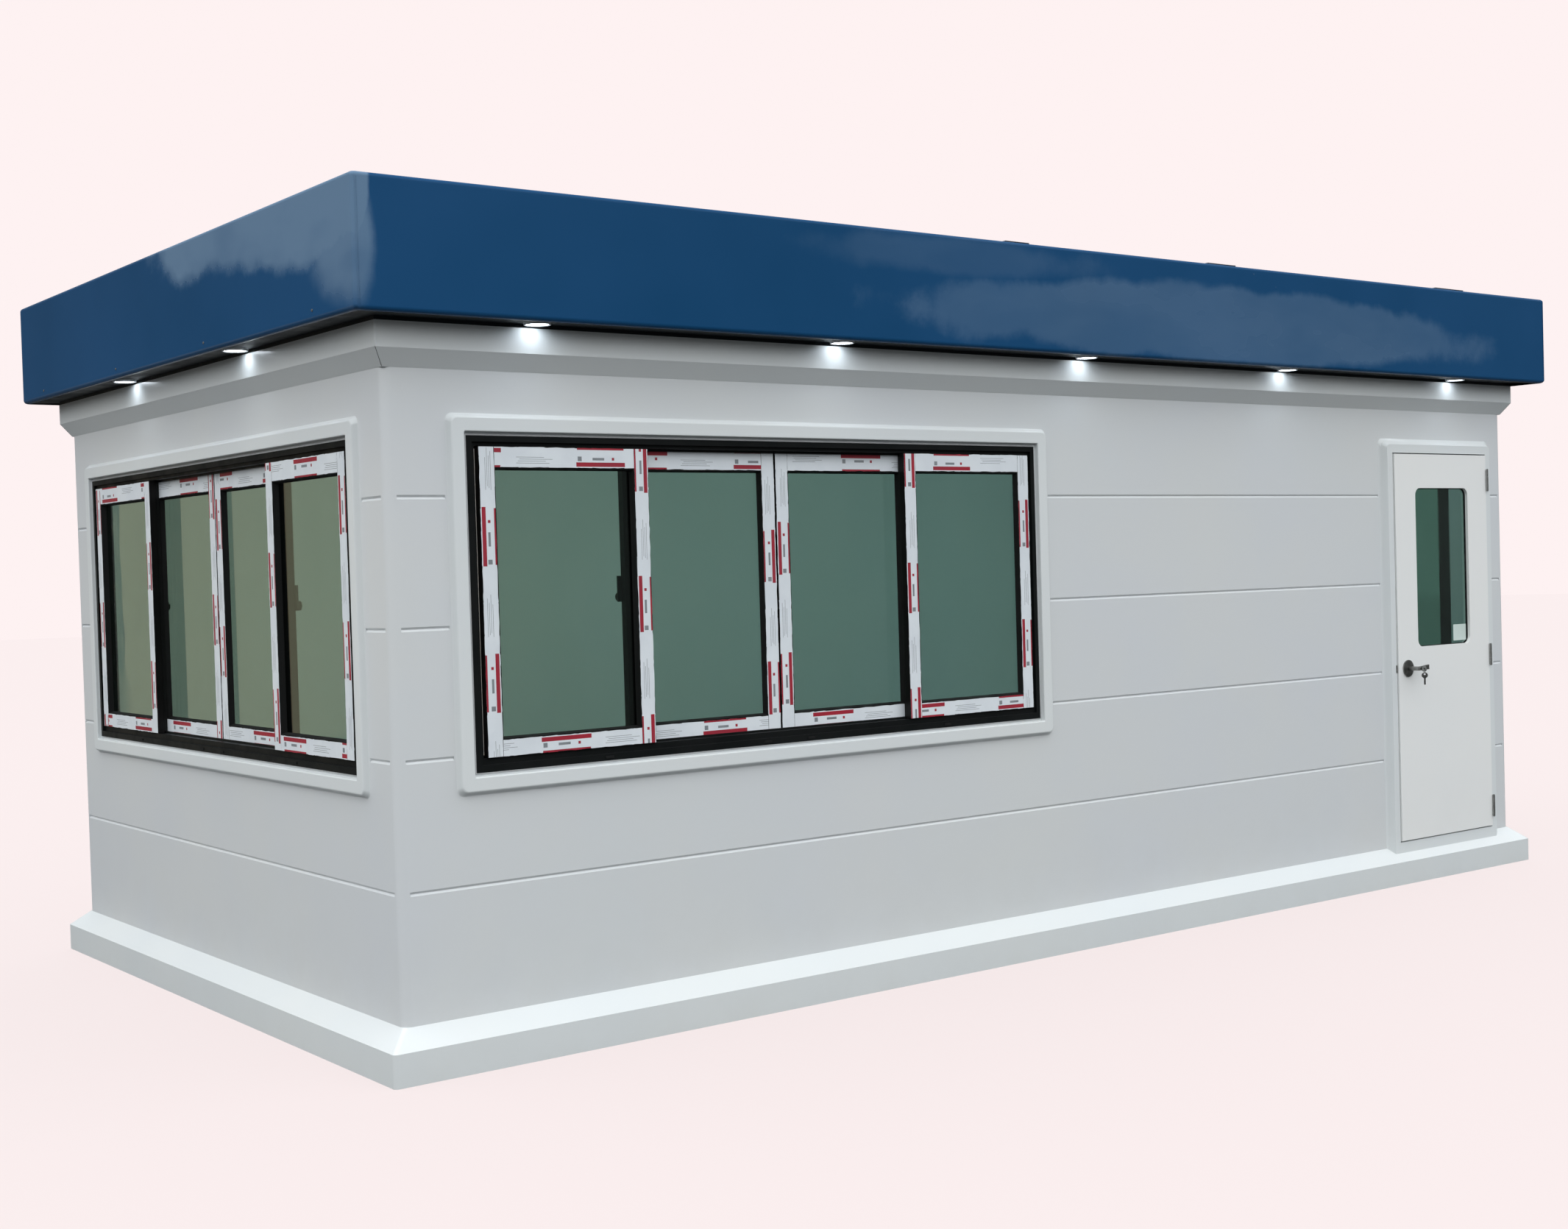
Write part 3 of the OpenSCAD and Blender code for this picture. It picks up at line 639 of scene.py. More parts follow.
@dataclass(frozen=True)
class Plywood(Finish):
    """Board with long grain and darker growth lines."""

    name: str = "Plywood"
    light: Colour = (0.62, 0.46, 0.28)
    dark: Colour = (0.50, 0.35, 0.19)
    knot: Colour = (0.3, 0.19, 0.09)
    knot_share: float = 0.3
    rough_span: Flat = (0.5, 0.7)
    depth: float = 0.0003

    def lay(self, f: Canvas, g: Graph) -> None:
        """Lays the nodes.

        Args:
            f: The new material.
            g: Its graph.
        """
        wave = g.add("ShaderNodeTexWave", {
            "Vector": f.mapped(scale=(0.12, 2.2, 2.2)), "Scale": 6.0, "Distortion": 7.0,
            "Detail": 3.0, "Detail Scale": 1.4}).outputs[1]
        knots = g.math("MULTIPLY", f.cloud(scale=3.0, softness=0.08), self.knot_share)
        f.put(Base_Color=g.blend(knots, g.blend(wave, self.dark, self.light), self.knot),
              Roughness=g.remap(wave, 0.0, 1.0, *self.rough_span))
        f.relief(wave, self.depth)


class Stock(Enum):
    """The finishes of the booth by the place that they are used."""

    WALL = Gelcoat("Wall_Gelcoat", (0.665, 0.700, 0.715), (0.690, 0.705, 0.690),
                   (0.655, 0.685, 0.725))
    MOULDING = Gelcoat("Moulding_Gelcoat", (0.725, 0.765, 0.775), (0.740, 0.765, 0.755),
                       (0.700, 0.745, 0.770), roughness=0.3, dust=0.1, dust_level=0.2)
    DOOR = Gelcoat("Door_Gelcoat", (0.850, 0.865, 0.850), (0.865, 0.870, 0.850),
                   (0.835, 0.855, 0.860), roughness=0.34, ripple=0.0008, dust=0.1)
    ROOF = RoofGelcoat()
    STRIP = PowderCoat("Roof_Strip", (0.010, 0.018, 0.035), (0.03, 0.05, 0.08), 0.5)
    # near-black soffit finish: partly the board's own dark colour, partly painted shade
    # under the roof overhang and in the gap above the cornice
    SOFFIT = PowderCoat("Soffit_Board", (0.008, 0.012, 0.016), (0.014, 0.019, 0.024), 0.5,
                        grain=60.0, depth=0.0002, level=0.25)
    FRAME = PowderCoat("Window_Powder_Coat", (0.0052, 0.0068, 0.0070),
                       (0.0095, 0.0105, 0.0108), 0.42, grain=120.0, level=0.16)
    SASH = PowderCoat("Sash_Powder_Coat", (0.0060, 0.0058, 0.0058), (0.010, 0.0098, 0.0098),
                      0.4, grain=120.0, level=0.16)
    RUBBER = PowderCoat("Seal_Rubber", (0.006, 0.007, 0.007), (0.014, 0.014, 0.014), 0.65,
                        grain=500.0, level=0.3)
    SEALANT = PowderCoat("Joint_Sealant", (0.50, 0.52, 0.53), (0.42, 0.43, 0.44), 0.4,
                         grain=200.0, depth=0.0003)
    CRACK = PowderCoat("Joint_Shadow", (0.05, 0.055, 0.055), (0.09, 0.09, 0.09), 0.8,
                       grain=200.0)
    STEEL = PowderCoat("Frame_Primer", (0.10, 0.07, 0.05), (0.16, 0.12, 0.09), 0.7,
                       grain=250.0, depth=0.0004)
    VINYL = PowderCoat("Floor_Vinyl", (0.16, 0.18, 0.20), (0.22, 0.24, 0.25), 0.5,
                       grain=120.0, depth=0.0003)
    CEILING = PowderCoat("Ceiling_Panel", (0.72, 0.74, 0.74), (0.66, 0.68, 0.68), 0.6,
                         grain=180.0, depth=0.0003)
    RIM = PowderCoat("Light_Rim", (0.62, 0.64, 0.66), (0.5, 0.52, 0.54), 0.3)
    HINGE = SatinSteel("Hinge_Steel", (0.50, 0.50, 0.49), (0.36, 0.36, 0.35), 0.34)
    LOCK = SatinSteel("Lock_Nickel", (0.36, 0.355, 0.34), (0.20, 0.20, 0.19), 0.3,
                      (1.0, 0.06, 1.0))
    LATCH = PowderCoat("Latch_Plastic", (0.012, 0.013, 0.013), (0.03, 0.03, 0.03), 0.35,
                       grain=400.0, level=0.5)
    GLASS = TintedGlass()
    FILM = ThinFilm("Film_White", (0.76, 0.81, 0.85), (0.66, 0.71, 0.76))
    FILM_RED = ThinFilm("Film_Red", (0.38, 0.016, 0.035), (0.29, 0.02, 0.04), 0.36)
    FILM_GREY = ThinFilm("Film_Grey", (0.20, 0.22, 0.24), (0.28, 0.30, 0.32), 0.36)
    GLOW = GlowDisc()
    PLYWOOD = Plywood()
    PAPER = ThinFilm("Plain_Card", (0.62, 0.72, 0.68), (0.55, 0.66, 0.62), 0.7)



class Store:
    """Builds each finish the first time that it is asked for."""

    def __init__(self) -> None:
        """Starts with the shared effects and no materials."""
        self.effects = Effects()
        self.made: dict[Stock, bpy.types.Material] = {}

    def get(self, stock: Stock) -> bpy.types.Material:
        """Finds a finish's material, or makes it.

        Args:
            stock: The finish.

        Returns:
            Its material.
        """
        if stock not in self.made:
            self.made[stock] = stock.value.build(self.effects)
        return self.made[stock]


# ------------------------------------------------------------------ mesh making


def add_object(name: str, mesh: bpy.types.Mesh, turn: Matrix | None = None
               ) -> bpy.types.Object:
    """Puts a mesh in the scene as an object at the origin.

    Args:
        name: Name of the object.
        mesh: Its mesh.
        turn: Matrix applied to the mesh itself.

    Returns:
        The object.
    """
    if turn is not None:
        mesh.transform(turn)
    piece = bpy.data.objects.new(name, mesh)
    bpy.context.scene.collection.objects.link(piece)
    return piece


def make_piece(name: str, verts: Sequence[Point], faces: Sequence[Side],
               materials: Sequence[bpy.types.Material], slots: Sequence[int] = (),
               smooth: bool = False, turn: Matrix | None = None) -> bpy.types.Object:
    """Makes one mesh object with merged points and outward faces.

    Args:
        name: Name of the piece.
        verts: Corner points.
        faces: Corner indices of each face.
        materials: Materials in slot order.
        slots: Material index of each face, or nothing for the first.
        smooth: True for smooth shading.
        turn: Matrix applied to the mesh itself.

    Returns:
        The object, at the origin.
    """
    mesh = bpy.data.meshes.new(name)
    mesh.from_pydata(verts, [], faces)
    for material in materials:
        mesh.materials.append(material)
    if slots:
        mesh.polygons.foreach_set("material_index", list(slots))
    bm = bmesh.new()
    bm.from_mesh(mesh)
    bmesh.ops.remove_doubles(bm, verts=bm.verts, dist=MERGE)
    bmesh.ops.recalc_face_normals(bm, faces=bm.faces)
    bm.to_mesh(mesh)
    bm.free()
    if smooth:
        mesh.shade_smooth()
    return add_object(name, mesh, turn)


def finished(piece: bpy.types.Object) -> bpy.types.Object:
    """Replaces a piece's mesh by its evaluated one and drops its modifiers.

    Args:
        piece: The piece to change.

    Returns:
        The same piece.
    """
    depsgraph = bpy.context.evaluated_depsgraph_get()
    mesh = bpy.data.meshes.new_from_object(piece.evaluated_get(depsgraph))
    piece.modifiers.clear()
    old = piece.data
    piece.data = mesh
    mesh.name = piece.name
    bpy.data.meshes.remove(old)
    return piece


def soften(piece: bpy.types.Object, width: float, segments: int = 2,
           angle: float = 30.0) -> bpy.types.Object:
    """Eases the sharp edges of a piece and smooths its shading.

    Args:
        piece: The piece to change.
        width: Width of the eased edge.
        segments: Steps across the edge.
        angle: Smallest edge angle, in degrees, that is eased.

    Returns:
        The same piece.
    """
    piece.data.shade_smooth()
    bevel = piece.modifiers.new("ease", "BEVEL")
    bevel.width = width
    bevel.segments = segments
    bevel.limit_method = "ANGLE"
    bevel.angle_limit = math.radians(angle)
    bevel.use_clamp_overlap = True
    weigh = piece.modifiers.new("weigh", "WEIGHTED_NORMAL")
    weigh.mode = "FACE_AREA"
    weigh.weight = 100
    return finished(piece)


def rounded_loop(width: float, height: float, radius: float, steps: int = 8
                 ) -> list[Flat]:
    """Points round a rectangle with round corners, centred on zero.

    Args:
        width: Full width.
        height: Full height.
        radius: Corner radius.
        steps: Segments in each corner.

    Returns:
        The points, anticlockwise.
    """
    points = []
    for quarter, (sx, sz) in enumerate(((1, 1), (-1, 1), (-1, -1), (1, -1))):
        cx, cz = sx * (width / 2 - radius), sz * (height / 2 - radius)
        for step in range(steps + 1):
            a = math.pi / 2 * (quarter + step / steps)
            points.append((cx + radius * math.cos(a), cz + radius * math.sin(a)))
    return points


def ring_faces(loops: int, count: int) -> list[Side]:
    """Faces between successive closed loops, the last of which joins the first.

    Args:
        loops: Number of loops.
        count: Points in each loop.

    Returns:
        Four-sided faces.
    """
    faces = []
    for a in range(loops):
        b = (a + 1) % loops
        for i in range(count):
            j = (i + 1) % count
            faces.append((a * count + i, a * count + j, b * count + j, b * count + i))
    return faces


def sheet_faces(rows: int, columns: int) -> list[Side]:
    """Faces of a thin closed sheet, whose points are a front grid and then a back grid.

    Args:
        rows: Points along one side of a grid.
        columns: Points along the other side, which are next to each other.

    Returns:
        The front and the back face of each cell in turn, and then the rim's faces.
    """
    page = rows * columns
    faces: list[Side] = []
    for i in range(rows - 1):
        for j in range(columns - 1):
            a = i * columns + j
            faces += [(a, a + columns, a + columns + 1, a + 1),
                      (page + a, page + a + 1, page + a + columns + 1, page + a + columns)]
    rim = ([i * columns for i in range(rows)]
           + [(rows - 1) * columns + j for j in range(1, columns)]
           + [i * columns + columns - 1 for i in range(rows - 2, -1, -1)]
           + list(range(columns - 2, 0, -1)))
    for k, a in enumerate(rim):
        b = rim[(k + 1) % len(rim)]
        faces.append((a, b, page + b, page + a))
    return faces


def joined(parts: Iterable[tuple[list[Point], list[Side]]]
           ) -> tuple[list[Point], list[Side]]:
    """Joins several (points, faces) sets into one.

    Args:
        parts: The sets.

    Returns:
        All points and all faces.
    """
    verts: list[Point] = []
    faces: list[Side] = []
    for points, sides in parts:
        base = len(verts)
        verts.extend(points)
        faces.extend(tuple(base + i for i in side) for side in sides)
    return verts, faces


def box_mesh(low: Point, high: Point) -> tuple[list[Point], list[Side]]:
    """Corners and faces of a box.

    Args:
        low: Its low corner.
        high: Its high corner.

    Returns:
        The points and the faces.
    """
    xs, ys, zs = zip(low, high)
    verts = [(xs[i & 1], ys[i >> 1 & 1], zs[i >> 2]) for i in range(8)]
    faces = [(0, 1, 3, 2), (4, 6, 7, 5), (0, 4, 5, 1), (2, 3, 7, 6), (0, 2, 6, 4),
             (1, 5, 7, 3)]
    return verts, faces


def circle(x: float, y: float, z: float, radius: float, count: int) -> list[Point]:
    """Points round a level circle."""
    turns = [math.tau * k / count for k in range(count)]
    return [(x + radius * math.cos(a), y + radius * math.sin(a), z) for a in turns]


def line_piece(name: str, runs: Sequence[Sequence[Point]], closed: bool,
               turn: Matrix | None = None) -> bpy.types.Object:
    """Mesh of edges only, for a bead to follow.

    Args:
        name: Name of the object.
        runs: Point lists.
        closed: True if each run ends where it starts.
        turn: Matrix applied to the points.

    Returns:
        The object.
    """
    verts: list[Point] = []
    edges: list[tuple[int, int]] = []
    for run in runs:
        base = len(verts)
        verts.extend(run)
        edges.extend((base + i, base + i + 1) for i in range(len(run) - 1))
        if closed:
            edges.append((base + len(run) - 1, base))
    mesh = bpy.data.meshes.new(name)
    mesh.from_pydata(verts, edges, [])
    return add_object(name, mesh, turn)


def place_piece(name: str, places: Sequence[Point], facing: Point) -> bpy.types.Object:
    """Mesh of loose points that all face one way.

    Args:
        name: Name of the object.
        places: The points.
        facing: Direction that each grown shape faces.

    Returns:
        The object.
    """
    mesh = bpy.data.meshes.new(name)
    mesh.from_pydata(places, [], [])
    attribute = mesh.attributes.new("facing", "FLOAT_VECTOR", "POINT")
    attribute.data.foreach_set("vector", list(facing) * len(places))
    return add_object(name, mesh)


class Makers:
    """Geometry Nodes trees for what repeats or follows a line.

    The crown, cross and slit of a screw are shares of its radius.
    """

    CROWN, CROSS, SLIT = 0.72, 0.95, 0.24

    def __init__(self) -> None:
        """Builds each tree once."""
        self.bead = self._bead()
        self.screws = self._screws()
        self.covers = self._covers()

    @staticmethod
    def _close(g: Graph, shape: Fed, i: bpy.types.Node, o: bpy.types.Node) -> None:
        """Ends a tree in Realize Instances and Set Material."""
        dress = g.add("GeometryNodeSetMaterial", {
            0: g.add("GeometryNodeRealizeInstances", {0: shape}),
            "Material": i.outputs["Material"]})
        g.feed(o.inputs[0], dress)

    def _bead(self) -> bpy.types.NodeTree:
        """Round bead along the edges of a line mesh.

        Returns:
            A tree with Radius, Sides and Material inputs.
        """
        tree, g, i, o = new_group(
            "Bead", "GeometryNodeTree",
            [("Line", SHAPE, None), ("Radius", FLOAT, 0.003), ("Sides", WHOLE, 8),
             ("Material", DRESS, None)],
            [("Bead", SHAPE)])
        line = g.add("GeometryNodeMeshToCurve", {0: i.outputs[0]})
        ring = g.add("GeometryNodeCurvePrimitiveCircle",
                     {"Resolution": i.outputs["Sides"], "Radius": i.outputs["Radius"]})
        body = g.add("GeometryNodeCurveToMesh", {0: line, 1: ring, "Fill Caps": True})
        self._close(g, g.add("GeometryNodeSetShadeSmooth", {0: body}), i, o)
        return tree

    def _screws(self) -> bpy.types.NodeTree:
        """Countersunk screw heads with a cross, one on each point, each at its own turn.

        Returns:
            A tree with Radius, Height, Seed and Material inputs.
        """
        tree, g, i, o = new_group(
            "Screws", "GeometryNodeTree",
            [("Places", SHAPE, None), ("Radius", FLOAT, 0.004), ("Height", FLOAT, 0.002),
             ("Seed", WHOLE, 7), ("Material", DRESS, None)],
            [("Screws", SHAPE)])
        radius, height = i.outputs["Radius"], i.outputs["Height"]
        top, wide, thin = (g.math("MULTIPLY", radius, share)
                           for share in (self.CROWN, self.CROSS, self.SLIT))
        head = g.add("GeometryNodeMeshCone", {"Vertices": 20, "Radius Top": top,
                                              "Radius Bottom": radius, "Depth": height})
        arms = g.add("GeometryNodeJoinGeometry")
        for x, y in ((wide, thin), (thin, wide)):
            bar = g.add("ShaderNodeCombineXYZ", {0: x, 1: y, 2: height})
            cube = g.add("GeometryNodeMeshCube", {"Size": bar})
            lift = g.add("ShaderNodeCombineXYZ", {2: height})
            up = g.add("GeometryNodeTransform", {0: cube, "Translation": lift})
            g.feed(arms.inputs[0], up)
        cut = g.add("GeometryNodeMeshBoolean", operation="DIFFERENCE")
        g.feed(cut.inputs[0], head)
        g.feed(cut.inputs[1], arms)
        facing = g.add("GeometryNodeInputNamedAttribute", {"Name": "facing"},
                       data_type="FLOAT_VECTOR")
        aim = g.add("FunctionNodeAlignRotationToVector", {"Vector": facing}, axis="Z")
        twist = g.add("FunctionNodeRandomValue", {"Seed": i.outputs["Seed"], 3: math.pi},
                      data_type="FLOAT")
        spin = g.add("ShaderNodeCombineXYZ", {2: twist.outputs[1]})
        turn = g.add("FunctionNodeRotateRotation", {0: aim, 1: spin},
                     rotation_space="LOCAL")
        self._close(g, g.add("GeometryNodeInstanceOnPoints", {
            0: i.outputs[0], "Instance": cut, "Rotation": turn}), i, o)
        return tree

    def _covers(self) -> bpy.types.NodeTree:
        """Small rounded covers, one on each point, long side along X.

        Returns:
            A tree with Length, Depth, Height and Material inputs.
        """
        tree, g, i, o = new_group(
            "Covers", "GeometryNodeTree",
            [("Places", SHAPE, None), ("Length", FLOAT, 0.03), ("Depth", FLOAT, 0.004),
             ("Height", FLOAT, 0.008), ("Material", DRESS, None)],
            [("Covers", SHAPE)])
        size = g.add("ShaderNodeCombineXYZ", {0: i.outputs["Length"], 1: i.outputs["Depth"],
                                              2: i.outputs["Height"]})
        cube = g.add("GeometryNodeMeshCube", {"Size": size})
        edge = g.add("GeometryNodeSubdivisionSurface", {0: cube, "Level": 3,
                                                        "Edge Crease": 0.7})
        soft = g.add("GeometryNodeSetShadeSmooth", {0: edge})
        self._close(g, g.add("GeometryNodeInstanceOnPoints", {
            0: i.outputs[0], "Instance": soft}), i, o)
        return tree

    @staticmethod
    def grow(tree: bpy.types.NodeTree, base: bpy.types.Object,
             values: dict[str, float | int | bpy.types.Material]) -> bpy.types.Object:
        """Runs a tree on a base mesh and keeps the plain result.

        Args:
            tree: The node tree.
            base: Object whose mesh is the tree's first input.
            values: Input values by name.

        Returns:
            The base object, now with the grown mesh.
        """
        modifier = base.modifiers.new("grow", "NODES")
        modifier.node_group = tree
        for item in tree.interface.items_tree:
            if item.item_type == "SOCKET" and item.name in values:
                modifier[item.identifier] = values[item.name]
        return finished(base)


# ------------------------------------------------------------------ shared kit


class Wall(Enum):
    """The walls, with the turn in degrees from the front wall."""

    FRONT = 0
    LEFT = -90
    RIGHT = 90


@dataclass(frozen=True)
class Eased:
    """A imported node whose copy, with eased edges, stands for it on one body."""

    node: str
    name: str
    stock: Stock
    body: str
    slot: str
    width: float
    segments: int = 2
    angle: float = 30.0


@dataclass
class Kit:
    """What every sub-assembly needs: the frame, the finishes and the makers."""

    frame: dict[str, dict[str, bpy.types.Object]]
    store: Store
    makers: Makers
    weld: float = 2e-5
    flat_angle: float = 0.5
    count: int = 0

    def __post_init__(self) -> None:
        """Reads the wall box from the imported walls."""
        self.half_x = -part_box("wall_front")[0].x
        self.half_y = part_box("wall_back")[1].y

    def wall_turn(self, wall: Wall) -> Matrix:
        """Matrix from a wall's own frame (x along, y inward, z up) to the building."""
        reach = self.half_y if wall is Wall.FRONT else self.half_x
        return (Matrix.Rotation(math.radians(wall.value), 4, "Z")
                @ Matrix.Translation((0.0, -reach, 0.0)))

    def keep(self, piece: bpy.types.Object, body: str, slot: str,
             *replaced: str) -> bpy.types.Object:
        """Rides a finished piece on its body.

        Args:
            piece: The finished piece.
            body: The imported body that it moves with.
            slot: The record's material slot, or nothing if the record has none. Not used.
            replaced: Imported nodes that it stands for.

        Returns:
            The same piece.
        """
        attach(piece, body)
        if replaced:
            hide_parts(*replaced)
        self.count += 1
        LOG.info("%s on %s: %d faces", piece.name, body, len(piece.data.polygons))
        return piece

    def dress(self, stock: Stock, *nodes: str) -> None:
        """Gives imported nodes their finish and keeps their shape.

        Args:
            stock: The finish.
            nodes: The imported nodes.
        """
        for node in nodes:
            materials = self.frame["nodes"][node].data.materials
            materials.clear()
            materials.append(self.store.get(stock))

    def ease(self, *rows: Eased) -> None:
        """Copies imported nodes, merges them, eases their edges and keeps the copies.

        Args:
            rows: The nodes and what their copies are.
        """
        for row in rows:
            mesh = self.frame["nodes"][row.node].data.copy()
            mesh.name = row.name
            mesh.materials.clear()
            mesh.materials.append(self.store.get(row.stock))
            if mesh.attributes.get("custom_normal"):
                mesh.attributes.remove(mesh.attributes["custom_normal"])
            bm = bmesh.new()
            bm.from_mesh(mesh)
            bmesh.ops.remove_doubles(bm, verts=bm.verts, dist=self.weld)
            bmesh.ops.dissolve_degenerate(bm, edges=bm.edges, dist=MERGE)
            bmesh.ops.dissolve_limit(bm, angle_limit=math.radians(self.flat_angle),
                                     verts=bm.verts, edges=bm.edges)
            for face in bm.faces:
                face.material_index = 0
            bm.to_mesh(mesh)
            bm.free()
            piece = soften(add_object(row.name, mesh), row.width, row.segments, row.angle)
            self.keep(piece, row.body, row.slot, row.node)

    def bead(self, name: str, runs: Sequence[Sequence[Point]], closed: bool, radius: float,
             stock: Stock, slot: str, body: str = "booth", sides: int = 8,
             turn: Matrix | None = None) -> None:
        """Lays a round bead along lines and keeps it.

        Args:
            name: Name of the piece.
            runs: The lines.
            closed: True if each line ends where it starts.
            radius: Radius of the bead.
            stock: Its finish.
            slot: The record's material slot.
            body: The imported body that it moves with.
            sides: Flats round the bead.
            turn: Matrix applied to the lines.
        """
        line = line_piece(name, runs, closed, turn)
        self.makers.grow(self.makers.bead, line, {
            "Radius": radius, "Sides": sides, "Material": self.store.get(stock)})
        self.keep(line, body, slot)


# ------------------------------------------------------------------ sub-assemblies


@dataclass
class Shell:
    """Walls, base, floor, ceiling and cornice."""

    kit: Kit
    base_ease: float = 0.003
    cornice_ease: float = 0.0015
    slope_rise: float = 0.057
    crack_radius: float = 0.0009
    crack_foot: Flat = (0.001, 0.002)
    crack_head: float = 0.0012

    def build(self) -> None:
        """Dresses the walls and adds the eased base and cornice with their joints."""
        kit = self.kit
        kit.dress(Stock.WALL, "wall_front", "wall_front_right", "wall_front_header",
                  "wall_left", "wall_right", "wall_back")
        kit.dress(Stock.STEEL, "floor_joists", "roof_ribs")
        kit.dress(Stock.PLYWOOD, "floor_deck")
        kit.dress(Stock.VINYL, "floor_cover")
        kit.dress(Stock.CEILING, "ceiling_panel")
        kit.ease(Eased("base_skirt", "Base_Flange", Stock.MOULDING, "booth",
                       "moulding_gelcoat", self.base_ease, segments=3),
                 Eased("cornice", "Cornice_Moulding", Stock.MOULDING, "booth",
                       "moulding_gelcoat", self.cornice_ease))
        self._joints()

    def _joints(self) -> None:
        """Adds the hair cracks in the mitres of the cornice slope."""
        low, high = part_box("cornice")
        out, up = self.crack_foot
        foot = (self.kit.half_x + out, self.kit.half_y + out, low.z + up)
        head = (high.x - self.crack_head, high.y - self.crack_head, low.z + self.slope_rise)
        cracks = [[(sx * x, sy * y, z) for x, y, z in (foot, head)]
                  for sx in (-1, 1) for sy in (-1, 1)]
        self.kit.bead("Cornice_Mitre_Cracks", cracks, False, self.crack_radius,
                      Stock.CRACK, "moulding_gelcoat", sides=6)


@dataclass
class RoofBox:
    """Blue roof box with its soffit, joints, strips and screws."""

    kit: Kit
    ease: float = 0.002
    ease_angle: float = 24.0
    strip_ease: float = 0.0015
    rounding: float = 0.016
    joint_from_corner: float = 0.013
    joint_step: float = 0.0055
    joint_radius: float = 0.0009
    joint_proud: float = 0.0002
    screw_radius: float = 0.0045
    screw_height: float = 0.0024
    screw_proud: float = 0.0006
    screw_rise: float = 0.034
    screw_places: tuple[float, ...] = (-1.378, -0.46, 0.46, 1.378)

    def build(self) -> None:
        """Adds the eased shell and its small parts."""
        kit = self.kit
        kit.ease(Eased("roof_shell", "Roof_Box", Stock.ROOF, "booth", "roof_blue",
                       self.ease, angle=self.ease_angle),
                 Eased("roof_pads", "Roof_Edge_Strips", Stock.STRIP, "booth", "roof_strip",
                       self.strip_ease))
        # the deck and the soffit strip get the near-black finish, which paints in the shade
        # under the overhang as well as their own dark colour
        kit.dress(Stock.SOFFIT, "roof_deck", "soffit_strip")
        self.low, self.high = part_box("roof_shell")
        self._joints()
        self._screws()

    def _joints(self) -> None:
        """Adds the upright moulding joints beside the corners."""
        runs = []
        for sx in (-1, 1):
            for step in (0.0, self.joint_step):
                x = sx * (self.high.x - self.joint_from_corner - step)
                for y in (self.low.y - self.joint_proud, self.high.y + self.joint_proud):
                    runs.append([(x, y, self.low.z + self.rounding),
                                 (x, y, self.high.z - self.rounding)])
        self.kit.bead("Roof_Corner_Joints", runs, False, self.joint_radius, Stock.ROOF,
                      "roof_blue", sides=6)

    def _screws(self) -> None:
        """Adds the fixing screws low on the roof box ends."""
        kit = self.kit
        z = self.low.z + self.screw_rise
        for side, x, label in ((-1, self.low.x, "Left"), (1, self.high.x, "Right")):
            places = [(x + side * self.screw_proud, y, z) for y in self.screw_places]
            screws = place_piece(f"Roof_Screws_{label}", places, (side, 0.0, 0.0))
            kit.makers.grow(kit.makers.screws, screws, {
                "Radius": self.screw_radius, "Height": self.screw_height,
                "Material": kit.store.get(Stock.HINGE)})
            kit.keep(screws, "booth", "hinge_steel")


@dataclass
class Downlights:
    """Round soffit lights with a turned rim and a glowing disc."""

    kit: Kit
    lip_reach: float = 0.92
    lip_radius: float = 0.0022
    lip_count: int = 40
    apart: float = 0.1

    def build(self) -> None:
        """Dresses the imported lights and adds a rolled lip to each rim."""
        kit = self.kit
        kit.dress(Stock.RIM, "downlight_rims")
        kit.dress(Stock.GLOW, "downlight_lenses")
        places = self._places()
        low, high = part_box("downlight_rims")
        radius = (high.x - max(c.x for c in places)) * self.lip_reach
        rings = [circle(c.x, c.y, low.z, radius, self.lip_count) for c in places]
        kit.bead("Downlight_Lips", rings, True, self.lip_radius, Stock.RIM, "light_rim")

    def _places(self) -> list[Vector]:
        """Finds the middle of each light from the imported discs.

        Returns:
            The middles.
        """
        points = [v.co for v in self.kit.frame["nodes"]["downlight_lenses"].data.vertices]
        found: list[Vector] = []
        for point in points:
            if not any((point - c).length < 2 * self.apart for c in found):
                near = [p for p in points if (p - point).length < self.apart]
                found.append(Vector([(min(row) + max(row)) / 2 for row in zip(*near)]))
        return found


@dataclass(frozen=True)
class Print:
    """One printed bar on a film strip, in the strip's own lengthwise measure."""

    start: float
    length: float
    inset: float
    width: float
    slot: int

    def covers(self, u: float, v: float) -> bool:
        """True if a place on the strip lies under the print."""
        return (self.start < u < self.start + self.length
                and self.inset < v < self.inset + self.width)


